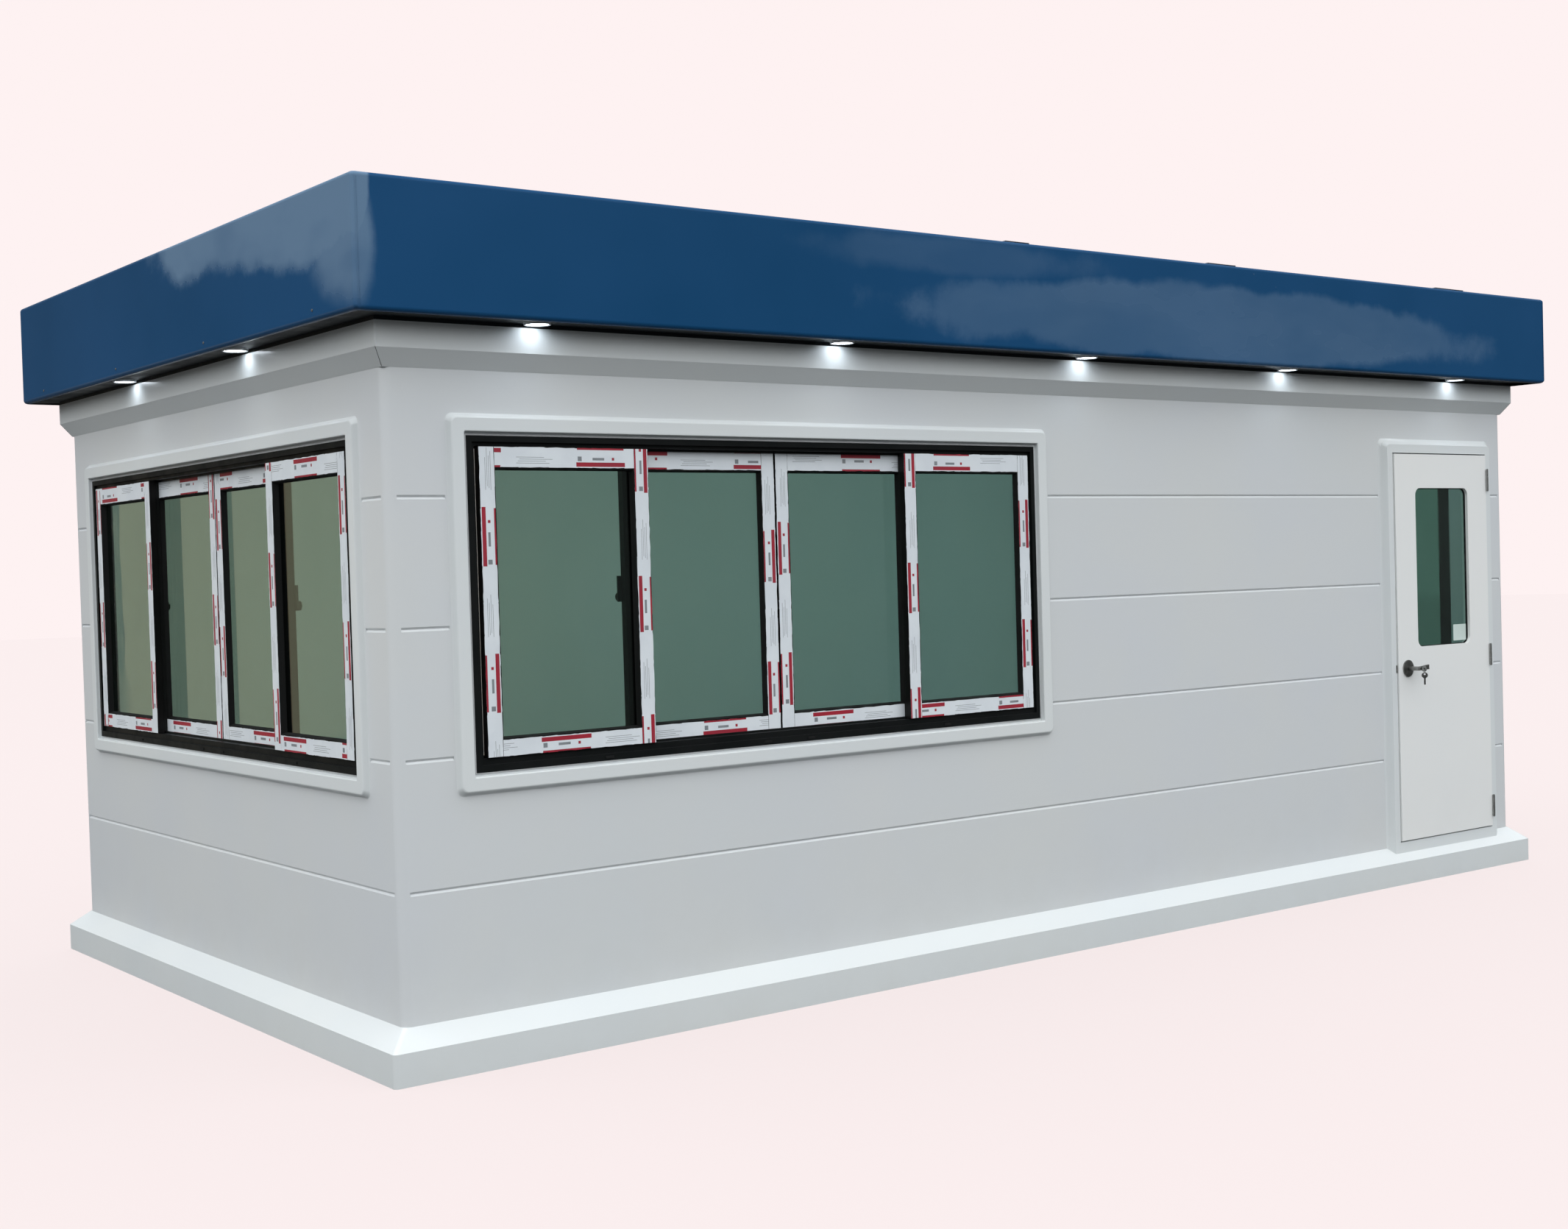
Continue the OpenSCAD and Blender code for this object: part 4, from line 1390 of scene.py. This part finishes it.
@dataclass(frozen=True)
class Pattern:
    """Rule for the plain bars, squares and hairlines printed on a film strip."""

    pitch: float = 0.475
    bar: float = 0.192
    bar_width: float = 0.0145
    bar_inset: float = 0.0035
    edge_short: float = 0.004
    edge_width: float = 0.006
    beside: float = 0.0075
    square: float = 0.0155
    square_start: float = 0.006
    dash: float = 0.046
    dash_width: float = 0.0085
    dash_start: float = 0.064
    dot: float = 0.0095
    dot_start: float = 0.140
    small_inset: float = 0.003
    line: float = 0.125
    line_width: float = 0.0014
    line_step: float = 0.0065
    line_inset: float = 0.013
    line_start: float = 0.055
    line_stagger: float = 0.006
    line_short: float = 0.02
    shortest: float = 0.008

    def prints(self, length: float, across: float, phase: float, flip: bool
               ) -> list[Print]:
        """Lays bars, squares and hairlines along a strip.

        Args:
            length: Length of the strip.
            across: Width of the strip.
            phase: Where the first bar begins, as a share of the pitch.
            flip: True if the first bar lies at the far edge.

        Returns:
            The prints that fit on the strip.
        """
        found = []
        beside = self.bar_width + self.beside
        small = beside + self.small_inset
        marks = [(0.0, self.bar, self.bar_inset, self.bar_width, 1, False),
                 (self.edge_short, self.bar - 2 * self.edge_short, 0.0, self.edge_width, 1,
                  True),
                 (self.square_start, self.square, beside, self.square, 2, False),
                 (self.dash_start, self.dash, small, self.dash_width, 2, False),
                 (self.dot_start, self.dot, small, self.dot, 1, False)]
        marks += [(self.bar + self.line_start + self.line_stagger * (row % 3),
                   self.line - self.line_short * (row % 2),
                   self.line_inset + self.line_step * row, self.line_width, 2, True)
                  for row in range(4)]
        start = phase * self.pitch - self.pitch
        while start < length:
            for begin, long, inset, wide, slot, opposite in marks:
                low, high = max(start + begin, 0.0), min(start + begin + long, length)
                if high - low > min(self.shortest, long / 2):
                    place = across - inset - wide if flip != opposite else inset
                    found.append(Print(low, high - low, place, wide, slot))
            flip = not flip
            start += self.pitch
        return found


@dataclass
class FilmSheet:
    """Thin closed sheets that cover the sash faces, collected into one mesh."""

    seed: int
    thickness: float = 0.0003
    lifted: float = 0.00022
    ragged: float = 0.0011
    sunk: float = 0.00005
    closest: float = 0.0002
    cell: Flat = (0.034, 0.03)

    def __post_init__(self) -> None:
        """Starts an empty collection."""
        self.random = random.Random(self.seed)
        self.verts: list[Point] = []
        self.faces: list[Side] = []
        self.slots: list[int] = []

    def _cuts(self, high: float, edges: Iterable[float], step: float) -> list[float]:
        """Finds where a strip is cut across.

        Args:
            high: Length of the strip.
            edges: Places that need a cut.
            step: Longest distance between cuts.

        Returns:
            The cuts from zero on, with none too close to the one before it.
        """
        steps = max(1, round(high / step))
        wanted = sorted({high, *edges, *(high * k / steps for k in range(1, steps))})
        cuts = [0.0]
        for cut in wanted:
            if cut <= high and cut - cuts[-1] > self.closest:
                cuts.append(cut)
        return cuts

    def strip(self, low: Flat, high: Flat, y: float, prints: Sequence[Print],
              upright: bool) -> None:
        """Adds one strip with its prints.

        Args:
            low: Lower left corner, (x, z).
            high: Upper right corner, (x, z).
            y: Depth of the face that it covers.
            prints: Its prints.
            upright: True if the strip's length runs up the wall.
        """
        length, across = high[0] - low[0], high[1] - low[1]
        if upright:
            length, across = across, length
        us = self._cuts(length, (e for p in prints for e in (p.start, p.start + p.length)),
                        self.cell[0])
        vs = self._cuts(across, (e for p in prints for e in (p.inset, p.inset + p.width)),
                        self.cell[1])
        front: list[Point] = []
        for i, u in enumerate(us):
            ragged = (self.random.uniform(-self.ragged, self.ragged),
                      self.random.uniform(-self.ragged, self.ragged))
            lift = self.thickness + self.random.uniform(0.0, self.lifted)
            for j, v in enumerate(vs):
                if j in (0, len(vs) - 1) and 0 < i < len(us) - 1:
                    v += ragged[j > 0]
                x, z = (v, u) if upright else (u, v)
                front.append((low[0] + x, y - lift, low[1] + z))
        faces = sheet_faces(len(us), len(vs))
        slots = [0] * len(faces)
        cells = [((a + b) / 2, (c + d) / 2) for a, b in zip(us, us[1:])
                 for c, d in zip(vs, vs[1:])]
        for k, (u, v) in enumerate(cells):
            slots[2 * k] = next((p.slot for p in prints if p.covers(u, v)), 0)
        base = len(self.verts)
        self.verts += front + [(x, y + self.sunk, z) for x, _, z in front]
        self.faces += [tuple(base + i for i in face) for face in faces]
        self.slots += slots


@dataclass(frozen=True)
class SashFilm:
    """Which stiles of one sash keep their film, and where its prints begin."""

    left: bool
    right: bool
    phase: float


FRONT_FILMS = (SashFilm(True, True, 0.30), SashFilm(False, True, 0.62),
               SashFilm(True, False, 0.18), SashFilm(True, True, 0.84))
LEFT_FILMS = (SashFilm(True, True, 0.70), SashFilm(False, True, 0.25),
              SashFilm(True, False, 0.50), SashFilm(True, True, 0.05))
RIGHT_FILMS = (SashFilm(True, True, 0.44), SashFilm(False, True, 0.90),
               SashFilm(True, False, 0.35), SashFilm(True, True, 0.60))


@dataclass
class SlidingWindow:
    """Four sliding sashes in a powder-coated frame, with films, beads and seals."""

    kit: Kit
    wall: Wall
    name: str
    films: Sequence[SashFilm]
    frame_ease: float = 0.0009
    sash_ease: float = 0.0008
    gap: float = 0.006
    pane_bite: float = 0.006
    film_seed: int = 11
    film_side: float = 0.0015
    film_foot: float = 0.002
    film_head: float = 0.003
    film_end: float = 0.012
    right_shift: float = 0.5
    head_shift: float = 0.35
    stile_flip: float = 0.7
    rail_flip: float = 0.6
    bead: float = 0.008
    bead_lip: tuple[Flat, ...] = ((0.0, 0.0022), (0.0012, 0.0012), (0.0026, 0.0014))
    bead_fall: float = 0.0006
    bead_bite: float = 0.0002
    bead_corner: float = 0.0008
    seal_ease: float = 0.0012
    seal_end: float = 0.002
    seal_slack: float = 0.0002
    seal_depth: Flat = (0.006, 0.019)
    pile: float = 0.007
    pile_in: float = 0.005
    pile_end: float = 0.004
    pile_bite: float = 0.0005
    sealant: float = 0.0032
    sealant_out: float = 0.0025
    sealant_proud: float = 0.0012
    sealant_corner: float = 0.003
    drain_size: Point = (0.032, 0.004, 0.008)
    drain_drop: float = 0.033
    drain_proud: float = 0.0068
    drain_places: tuple[float, ...] = (-0.62, -0.08, 0.08, 0.62)
    pattern: Pattern = Pattern()

    def build(self) -> None:
        """Builds every piece of the window."""
        self._measure()
        key = f"window_{self.name}"
        for part, title, stock, ease in (
                ("frame", "Frame", Stock.FRAME, self.frame_ease),
                ("outer_sashes", "Outer_Sashes", Stock.SASH, self.sash_ease),
                ("inner_sashes", "Inner_Sashes", Stock.SASH, self.sash_ease)):
            self.kit.ease(Eased(f"{key}_{part}", f"{self.label}_{title}", stock, "booth",
                                "window_black", ease))
        self.kit.dress(Stock.GLASS, f"{key}_glass")
        self._films()
        self._beads()
        self._seals()
        self._sealant()
        self._drains()

    def _box(self, part: str) -> tuple[Vector, Vector]:
        """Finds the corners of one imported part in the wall's own frame.

        Args:
            part: The part's name after the window's.

        Returns:
            The low and the high corner.
        """
        back = self.turn.inverted()
        ends = [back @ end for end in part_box(f"window_{self.name}_{part}")]
        return Vector(tuple(map(min, *ends))), Vector(tuple(map(max, *ends)))

    def _measure(self) -> None:
        """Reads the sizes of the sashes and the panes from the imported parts."""
        self.label = self.name.capitalize()
        self.turn = self.kit.wall_turn(self.wall)
        self.low, self.high = self._box("outer_sashes")
        inner_low, inner_high = self._box("inner_sashes")
        pane_low, pane_high = self._box("glass")
        self.centre = (inner_low.x + inner_high.x) / 2
        self.width = (inner_high.x - inner_low.x - self.gap) / 2
        self.inner_face = inner_low.y
        self.stile = pane_low.x - self.low.x + self.pane_bite
        self.bottom = pane_low.z - self.low.z + self.pane_bite
        self.top = self.high.z - pane_high.z + self.pane_bite
        self.recess = pane_low.y - self.low.y
        self.sashes = ((self.low.x, self.low.y), (inner_low.x, inner_low.y),
                       (self.centre + self.gap / 2, inner_low.y),
                       (self.high.x - self.width, self.low.y))

    def _films(self) -> None:
        """Adds the protective film strips with their plain prints."""
        sheet = FilmSheet(self.film_seed + len(self.name))
        low, high = self.low.z + self.film_foot, self.high.z - self.film_head
        side = self.film_side
        for film, (x, y) in zip(self.films, self.sashes):
            end = x + self.width
            stiles = ((film.left, x + side, x + self.stile - side, film.phase),
                      (film.right, end - self.stile + side, end - side,
                       film.phase + self.right_shift))
            for shown, left, right, phase in stiles:
                if shown:
                    marks = self.pattern.prints(high - low, right - left, phase % 1.0,
                                                phase > self.stile_flip)
                    sheet.strip((left, low), (right, high), y, marks, True)
            left = x + (self.stile if film.left else self.film_end)
            right = end - (self.stile if film.right else self.film_end)
            rails = ((low, self.low.z + self.bottom - side, film.phase),
                     (self.high.z - self.top + side, high, film.phase + self.head_shift))
            for foot, head, phase in rails:
                marks = self.pattern.prints(right - left, head - foot, phase % 1.0,
                                            phase > self.rail_flip)
                sheet.strip((left, foot), (right, head), y, marks, False)
        stocks = (Stock.FILM, Stock.FILM_RED, Stock.FILM_GREY)
        piece = make_piece(f"{self.label}_Film", sheet.verts, sheet.faces,
                           [self.kit.store.get(s) for s in stocks], sheet.slots,
                           turn=self.turn)
        self.kit.keep(piece, "booth", "")

    def _beads(self) -> None:
        """Adds the black glazing beads that slope from each sash to its pane."""
        parts = []
        wide = self.width - 2 * self.stile
        foot, head = self.low.z + self.bottom, self.high.z - self.top
        section = (*self.bead_lip, (self.bead, self.recess - self.bead_fall),
                   (self.bead, self.recess + self.bead_bite),
                   (0.0, self.recess + self.bead_bite))
        for x, y in self.sashes:
            points: list[Point] = []
            for inset, depth in section:
                loop = rounded_loop(wide - 2 * inset, head - foot - 2 * inset,
                                    self.bead_corner, steps=3)
                points += [(x + self.width / 2 + px, y + depth, (foot + head) / 2 + pz)
                           for px, pz in loop]
            parts.append((points, ring_faces(len(section), len(loop))))
        piece = make_piece(f"{self.label}_Glazing_Beads", *joined(parts),
                           [self.kit.store.get(Stock.RUBBER)], turn=self.turn)
        self.kit.keep(piece, "booth", "window_black")

    def _seals(self) -> None:
        """Adds the meeting seal and the pile seals between the sashes."""
        low, high = self.low.z + self.seal_end, self.high.z - self.seal_end
        half = self.gap / 2 - self.seal_slack
        near, far = (self.inner_face + depth for depth in self.seal_depth)
        parts = [box_mesh((self.centre - half, near, low), (self.centre + half, far, high))]
        for x in (self.low.x + self.width - self.pile_in - self.pile,
                  self.high.x - self.width + self.pile_in):
            parts.append(box_mesh(
                (x, self.high.y - self.pile_bite, low + self.pile_end),
                (x + self.pile, self.inner_face + self.pile_bite, high - self.pile_end)))
        piece = make_piece(f"{self.label}_Pile_Seals", *joined(parts),
                           [self.kit.store.get(Stock.RUBBER)], turn=self.turn)
        self.kit.keep(soften(piece, self.seal_ease), "booth", "window_black")

    def _sealant(self) -> None:
        """Adds the pale sealant bead round the frame."""
        low, high = self._box("frame")
        out = 2 * self.sealant_out
        loop = rounded_loop(high.x - low.x + out, high.z - low.z + out,
                            self.sealant_corner, steps=3)
        ring = [(self.centre + x, -self.sealant_proud, (low.z + high.z) / 2 + z)
                for x, z in loop]
        self.kit.bead(f"{self.label}_Sealant", [ring], True, self.sealant, Stock.SEALANT,
                      "wall_gelcoat", turn=self.turn)

    def _drains(self) -> None:
        """Adds the small covers over the drain holes in the sill."""
        kit, half = self.kit, self.high.x - self.centre
        places = [(self.centre + share * half, -self.drain_proud,
                   self.low.z - self.drain_drop) for share in self.drain_places]
        cover = place_piece(f"{self.label}_Drain_Covers", places, (0.0, -1.0, 0.0))
        length, depth, height = self.drain_size
        kit.makers.grow(kit.makers.covers, cover, {
            "Length": length, "Depth": depth, "Height": height,
            "Material": kit.store.get(Stock.RUBBER)})
        cover.data.transform(self.turn)
        kit.keep(cover, "booth", "window_black")


@dataclass
class WindowSurrounds:
    """Moulded surrounds swept round the three windows."""

    kit: Kit
    reach: float = 0.072
    ledge: float = 0.012
    proud: float = 0.019
    corner: float = 0.026
    inner_corner: float = 0.004
    sunk: float = 0.0002
    foot: tuple[Flat, ...] = ((0.0012, 0.0009), (0.0042, 0.0026))
    outer_middle: float = 0.0542
    outer_round: float = 0.007
    outer_angles: tuple[int, ...] = (28, 40, 52, 66, 80, 90)
    inner_round: float = 0.0045
    inner_angles: tuple[int, ...] = (90, 108, 126, 144, 162, 180)
    ease: float = 0.0001
    ease_angle: float = 75.0

    def build(self) -> None:
        """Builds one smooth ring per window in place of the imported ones."""
        for name, wall in (("front", Wall.FRONT), ("left", Wall.LEFT),
                           ("right", Wall.RIGHT)):
            low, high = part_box(f"window_{name}_frame")
            middle, size = (low + high) / 2, high - low
            centre = middle.x if wall is Wall.FRONT else 0.0
            self._ring(name, wall, (centre, middle.z), (max(size.x, size.y), size.z))

    def _section(self) -> list[Flat]:
        """Finds the rounded section.

        Returns:
            The points as (reach, proud), from the foot to the inner edge.
        """
        points = [(self.reach, -self.sunk)]
        points += [(self.reach - inward, proud) for inward, proud in self.foot]
        for middle, radius, angles in (
                (self.outer_middle, self.outer_round, self.outer_angles),
                (self.ledge + self.inner_round, self.inner_round, self.inner_angles)):
            points += [(middle + radius * math.cos(math.radians(angle)),
                        self.proud - radius + radius * math.sin(math.radians(angle)))
                       for angle in angles]
        return [*points, (self.ledge, -self.sunk)]

    def _ring(self, name: str, wall: Wall, middle: Flat, size: Flat) -> None:
        """Sweeps the section round one window.

        Args:
            name: Name of the window.
            wall: The wall that it stands in.
            middle: Its middle along the wall and its middle height.
            size: Width and height of the window frame.
        """
        section = self._section()
        points: list[Point] = []
        for reach, proud in section:
            share = max(0.0, (reach - self.ledge) / (self.reach - self.ledge))
            radius = self.inner_corner + (self.corner - self.inner_corner) * share
            loop = rounded_loop(size[0] + 2 * reach, size[1] + 2 * reach, radius)
            points += [(middle[0] + x, -proud, middle[1] + z) for x, z in loop]
        piece = make_piece(f"{name.capitalize()}_Surround", points,
                           ring_faces(len(section), len(loop)),
                           [self.kit.store.get(Stock.MOULDING)], smooth=True,
                           turn=self.kit.wall_turn(wall))
        soften(piece, self.ease, segments=1, angle=self.ease_angle)
        self.kit.keep(piece, "booth", "moulding_gelcoat", "window_surrounds")


@dataclass
class Door:
    """Glazed door leaf with its surround, seals, hinges and card."""

    kit: Kit
    surround_ease: float = 0.004
    lining_ease: float = 0.002
    leaf_ease: float = 0.0032
    hinge_ease: float = 0.0003
    pane_bite: float = 0.008
    light_radius: float = 0.035
    gasket: float = 0.0026
    gasket_proud: float = 0.001
    seal: float = 0.0025
    seal_squash: float = 0.8
    seal_side: float = 0.006
    seal_foot: float = 0.004
    card: Flat = (0.105, 0.078)
    card_inset: Flat = (0.012, 0.016)
    card_cells: tuple[int, int] = (8, 6)
    card_proud: float = 0.001
    card_thickness: float = 0.0004
    card_bow: float = 0.0012
    card_lean: float = 0.4

    def build(self) -> None:
        """Builds the surround on the booth and the pieces on the leaf."""
        kit = self.kit
        kit.ease(Eased("door_surround", "Door_Surround", Stock.MOULDING, "booth",
                       "moulding_gelcoat", self.surround_ease, segments=3),
                 Eased("door_lining", "Door_Lining", Stock.MOULDING, "booth",
                       "moulding_gelcoat", self.lining_ease),
                 Eased("door_leaf", "Door_Leaf", Stock.DOOR, "door", "door_white",
                       self.leaf_ease, segments=3))
        kit.dress(Stock.GLASS, "door_glass")
        self.low, self.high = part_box("door_leaf")
        self.pane_low, self.pane_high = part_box("door_glass")
        self._gasket()
        self._seal()
        kit.ease(*(Eased(node, name, Stock.HINGE, body, "hinge_steel", self.hinge_ease)
                   for node, name, body in (
                       ("hinge_fixed", "Hinge_Fixed_Leaves", "booth"),
                       ("hinge_pins", "Hinge_Pins", "booth"),
                       ("hinge_moving", "Hinge_Moving_Leaves", "door"))))
        self._card()

    def _gasket(self) -> None:
        """Adds the dark gaskets between the leaf and its pane."""
        middle = (self.pane_low + self.pane_high) / 2
        size = self.pane_high - self.pane_low
        inset = 2 * (self.pane_bite + self.gasket_proud)
        loop = rounded_loop(size.x - inset, size.z - inset, self.light_radius, steps=10)
        rings = [[(middle.x + x, y, middle.z + z) for x, z in loop]
                 for y in (self.pane_low.y - self.gasket_proud,
                           self.pane_high.y + self.gasket_proud)]
        self.kit.bead("Door_Light_Gasket", rings, True, self.gasket, Stock.RUBBER,
                      "window_black", "door")

    def _seal(self) -> None:
        """Adds the soft dark seal on the stops behind the leaf."""
        y = self.high.y + self.seal * self.seal_squash
        left, right = self.low.x + self.seal_side, self.high.x - self.seal_side
        foot, head = self.low.z + self.seal_foot, self.high.z - self.seal_side
        run = [(left, y, foot), (left, y, head), (right, y, head), (right, y, foot)]
        self.kit.bead("Door_Stop_Seal", [run], False, self.seal, Stock.RUBBER,
                      "window_black")

    def _card(self) -> None:
        """Adds the plain card that is stuck low on the outside of the pane."""
        width, height = self.card
        columns, rows = self.card_cells
        left = self.pane_high.x - self.pane_bite - self.card_inset[0] - width
        foot = self.pane_low.z + self.pane_bite + self.card_inset[1]
        verts = []
        for depth in (self.card_proud, self.card_proud - self.card_thickness):
            for i in range(columns + 1):
                bow = self.card_bow * math.sin(math.pi * i / columns)
                verts += [(left + width * i / columns,
                           self.pane_low.y - depth - bow * (1 + self.card_lean * j / rows),
                           foot + height * j / rows) for j in range(rows + 1)]
        piece = make_piece("Door_Card", verts, sheet_faces(columns + 1, rows + 1),
                           [self.kit.store.get(Stock.PAPER)])
        self.kit.keep(piece, "door", "")


@dataclass
class LockSet:
    """Roses, lever bars, keys, strike and window latches with eased edges."""

    kit: Kit
    rose_ease: float = 0.0022
    bar_ease: float = 0.0014
    fine_ease: float = 0.0003

    def build(self) -> None:
        """Eases each lock piece and puts it on its body."""
        rows = (("lock_roses", "Lock_Roses", "door", self.rose_ease, 4),
                ("lever_set", "Lever_Set", "lever", self.bar_ease, 3),
                ("lock_keys", "Lock_Keys", "lever", self.fine_ease, 2),
                ("strike_plate", "Strike_Plate", "booth", self.fine_ease, 2))
        self.kit.ease(*(Eased(node, name, Stock.LOCK, body, "lock_steel", ease, steps)
                        for node, name, body, ease, steps in rows),
                      Eased("window_latches", "Window_Latches", Stock.LATCH, "booth",
                            "window_black", self.bar_ease, segments=3))


# ------------------------------------------------------------------ studio


@dataclass(frozen=True)
class Panel:
    """One soft area light. A hidden one is never seen, only what it lights."""

    name: str
    place: Point
    target: Point
    size: Flat
    power: float
    colour: Colour
    hidden: bool = False

    def build(self) -> None:
        """Adds the light to the scene."""
        data = bpy.data.lights.new(self.name, "AREA")
        data.shape = "RECTANGLE"
        data.size, data.size_y = self.size
        data.energy = self.power
        data.color = self.colour
        lamp = bpy.data.objects.new(self.name, data)
        way = Vector(self.target) - Vector(self.place)
        lamp.matrix_world = (Matrix.Translation(self.place)
                             @ way.to_track_quat("-Z", "Y").to_matrix().to_4x4())
        if self.hidden:
            lamp.visible_camera = lamp.visible_glossy = False
            lamp.visible_transmission = False
        bpy.context.scene.collection.objects.link(lamp)


@dataclass
class Studio:
    """Plain pale floor, soft light and the camera.

    Metal and glass mirror a darker backdrop than the camera sees, and the three room
    panels light what lies behind the panes.
    """

    eye: Point = (-5.745, -7.082, 1.574)
    yaw: float = 0.6519
    pitch: float = 0.0236
    roll: float = -0.0295
    lens: float = 44.52
    sensor: float = 36.0
    backdrop: Colour = (0.991, 0.887, 0.887)
    mirrored: Colour = (0.11, 0.115, 0.115)
    mirrored_high: Colour = (0.40, 0.43, 0.45)
    sky: Colour = (0.965, 0.985, 1.0)
    ground: Colour = (0.02, 0.02, 0.02)
    sky_strength: float = 1.75
    through: float = 0.3
    horizon: Flat = (0.07, 0.26)
    overhead: Flat = (0.12, 0.62)
    left_side: Flat = (-0.45, 0.1)
    left_strength: float = 0.66
    floor_radius: float = 60.0
    floor_sides: int = 96
    floor_drop: float = 0.0005
    floor_matt: Colour = (0.06, 0.06, 0.06)
    floor_pale: Colour = (0.106, 0.093, 0.092)
    floor_glow: float = 0.8
    floor_mirror: float = 0.9
    panels: tuple[Panel, ...] = (
        Panel("Studio_Front", (1.8, -8.4, 7.6), (1.0, -1.5, 1.0), (13.0, 5.0), 110.0,
              (0.965, 0.985, 1.0)),
        Panel("Studio_Left", (-9.4, -1.6, 6.6), (-3.0, 0.0, 1.0), (7.0, 4.5), 73.0,
              (1.0, 0.98, 0.95)),
        Panel("Studio_Warm", (-8.4, 11.4, 1.4), (-3.0, 0.0, 1.4), (3.6, 3.0), 12.0,
              (1.0, 0.80, 0.47)),
        Panel("Studio_Room", (1.0, -1.25, 1.5), (1.0, 1.4, 1.5), (4.0, 1.9), 20.0,
              (0.92, 1.0, 1.0), True),
        Panel("Studio_Room_Left", (-2.2, -1.25, 1.5), (-2.4, 1.4, 1.5), (1.3, 1.9), 23.0,
              (0.96, 0.72, 0.58), True),
        Panel("Studio_Room_Right", (1.1, -0.2, 1.5), (3.0, -0.9, 1.5), (1.0, 1.5), 6.0,
              (0.95, 1.0, 1.0), True))

    def build(self) -> None:
        """Builds the floor, the world, the light panels and the camera."""
        bpy.context.scene.view_settings.view_transform = "Standard"
        self._floor()
        self._world()
        for panel in self.panels:
            panel.build()
        self._camera()

    @staticmethod
    def _by_ray(g: Graph, other: Fed, mirror: Fed, through: Fed, seen: Fed) -> Fed:
        """Chooses a shader by the kind of ray that meets it.

        Args:
            g: The graph.
            other: What lights the object.
            mirror: What metal and glass mirror.
            through: What shows through glass.
            seen: What the camera sees.

        Returns:
            The last node.
        """
        path = g.add("ShaderNodeLightPath").outputs
        last = g.either(path["Is Glossy Ray"], other, mirror)
        last = g.either(path["Is Transmission Ray"], last, through)
        return g.either(path["Is Camera Ray"], last, seen)

    def _floor(self) -> None:
        """Adds a wide floor disc that the object's shadow falls on."""
        mesh = bpy.data.meshes.new("Studio_Floor")
        mesh.from_pydata(circle(0.0, 0.0, -self.floor_drop, self.floor_radius,
                                self.floor_sides), [], [tuple(range(self.floor_sides))])
        floor = add_object("Studio_Floor", mesh)
        material = bpy.data.materials.new("Studio_Floor")
        material.use_nodes = True
        material.node_tree.nodes.clear()
        g = Graph(material.node_tree)
        out = g.add("ShaderNodeOutputMaterial")
        pale = g.add("ShaderNodeBsdfDiffuse", {"Color": self.floor_pale})
        matt = g.add("ShaderNodeBsdfDiffuse", {"Color": self.floor_matt})
        glow, mirror, through = (
            g.add("ShaderNodeEmission", {"Color": colour, "Strength": strength})
            for colour, strength in ((self.backdrop, self.floor_glow),
                                     (self.mirrored, self.floor_mirror),
                                     (self.backdrop, self.floor_glow * self.through)))
        seen = g.add("ShaderNodeAddShader", {0: glow, 1: pale})
        g.feed(out.inputs[0], self._by_ray(g, matt, mirror, through, seen))
        mesh.materials.append(material)

    def _world(self) -> None:
        """Sets the backdrop and the soft sky light."""
        world = bpy.data.worlds.new("Studio_World")
        bpy.context.scene.world = world
        world.use_nodes = True
        world.node_tree.nodes.clear()
        g = Graph(world.node_tree)
        out = g.add("ShaderNodeOutputWorld")
        where = g.add("ShaderNodeTexCoord").outputs["Generated"]
        way = g.add("ShaderNodeSeparateXYZ", {0: where}).outputs
        sky = g.blend(g.remap(way[2], *self.horizon), self.ground, self.sky)
        high = g.blend(g.remap(way[2], *self.overhead), self.mirrored, self.mirrored_high)
        left = g.remap(way[0], *self.left_side, to_low=self.left_strength)
        light, mirror, through, seen = (
            g.add("ShaderNodeBackground", {"Color": colour, "Strength": strength})
            for colour, strength in ((sky, self.sky_strength), (high, left),
                                     (self.backdrop, self.through), (self.backdrop, 1.0)))
        g.feed(out.inputs[0], self._by_ray(g, light, mirror, through, seen))

    def _camera(self) -> None:
        """Adds the camera and makes it the scene's own."""
        forward = Vector((math.sin(self.yaw) * math.cos(self.pitch),
                          math.cos(self.yaw) * math.cos(self.pitch),
                          -math.sin(self.pitch)))
        side = Vector((math.cos(self.yaw), -math.sin(self.yaw), 0.0))
        up = side.cross(forward)
        c, s = math.cos(self.roll), math.sin(self.roll)
        right = side * c + up * s
        top = up * c - side * s
        data = bpy.data.cameras.new("Studio_Camera")
        data.lens = self.lens
        data.sensor_width = self.sensor
        data.dof.use_dof = False
        camera = bpy.data.objects.new("Studio_Camera", data)
        camera.matrix_world = Matrix((
            (right.x, top.x, -forward.x, self.eye[0]),
            (right.y, top.y, -forward.y, self.eye[1]),
            (right.z, top.z, -forward.z, self.eye[2]), (0.0, 0.0, 0.0, 1.0)))
        bpy.context.scene.collection.objects.link(camera)
        bpy.context.scene.camera = camera


def main() -> None:
    """Builds the booth's looks in order."""
    logging.basicConfig(level=logging.INFO, format="%(name)s: %(message)s")
    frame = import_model()
    kit = Kit(frame, Store(), Makers())
    Shell(kit).build()
    RoofBox(kit).build()
    Downlights(kit).build()
    WindowSurrounds(kit).build()
    SlidingWindow(kit, Wall.FRONT, "front", FRONT_FILMS).build()
    SlidingWindow(kit, Wall.LEFT, "left", LEFT_FILMS).build()
    SlidingWindow(kit, Wall.RIGHT, "right", RIGHT_FILMS).build()
    Door(kit).build()
    LockSet(kit).build()
    Studio().build()
    LOG.info("%d pieces kept", kit.count)


if __name__ == "__main__":
    main()
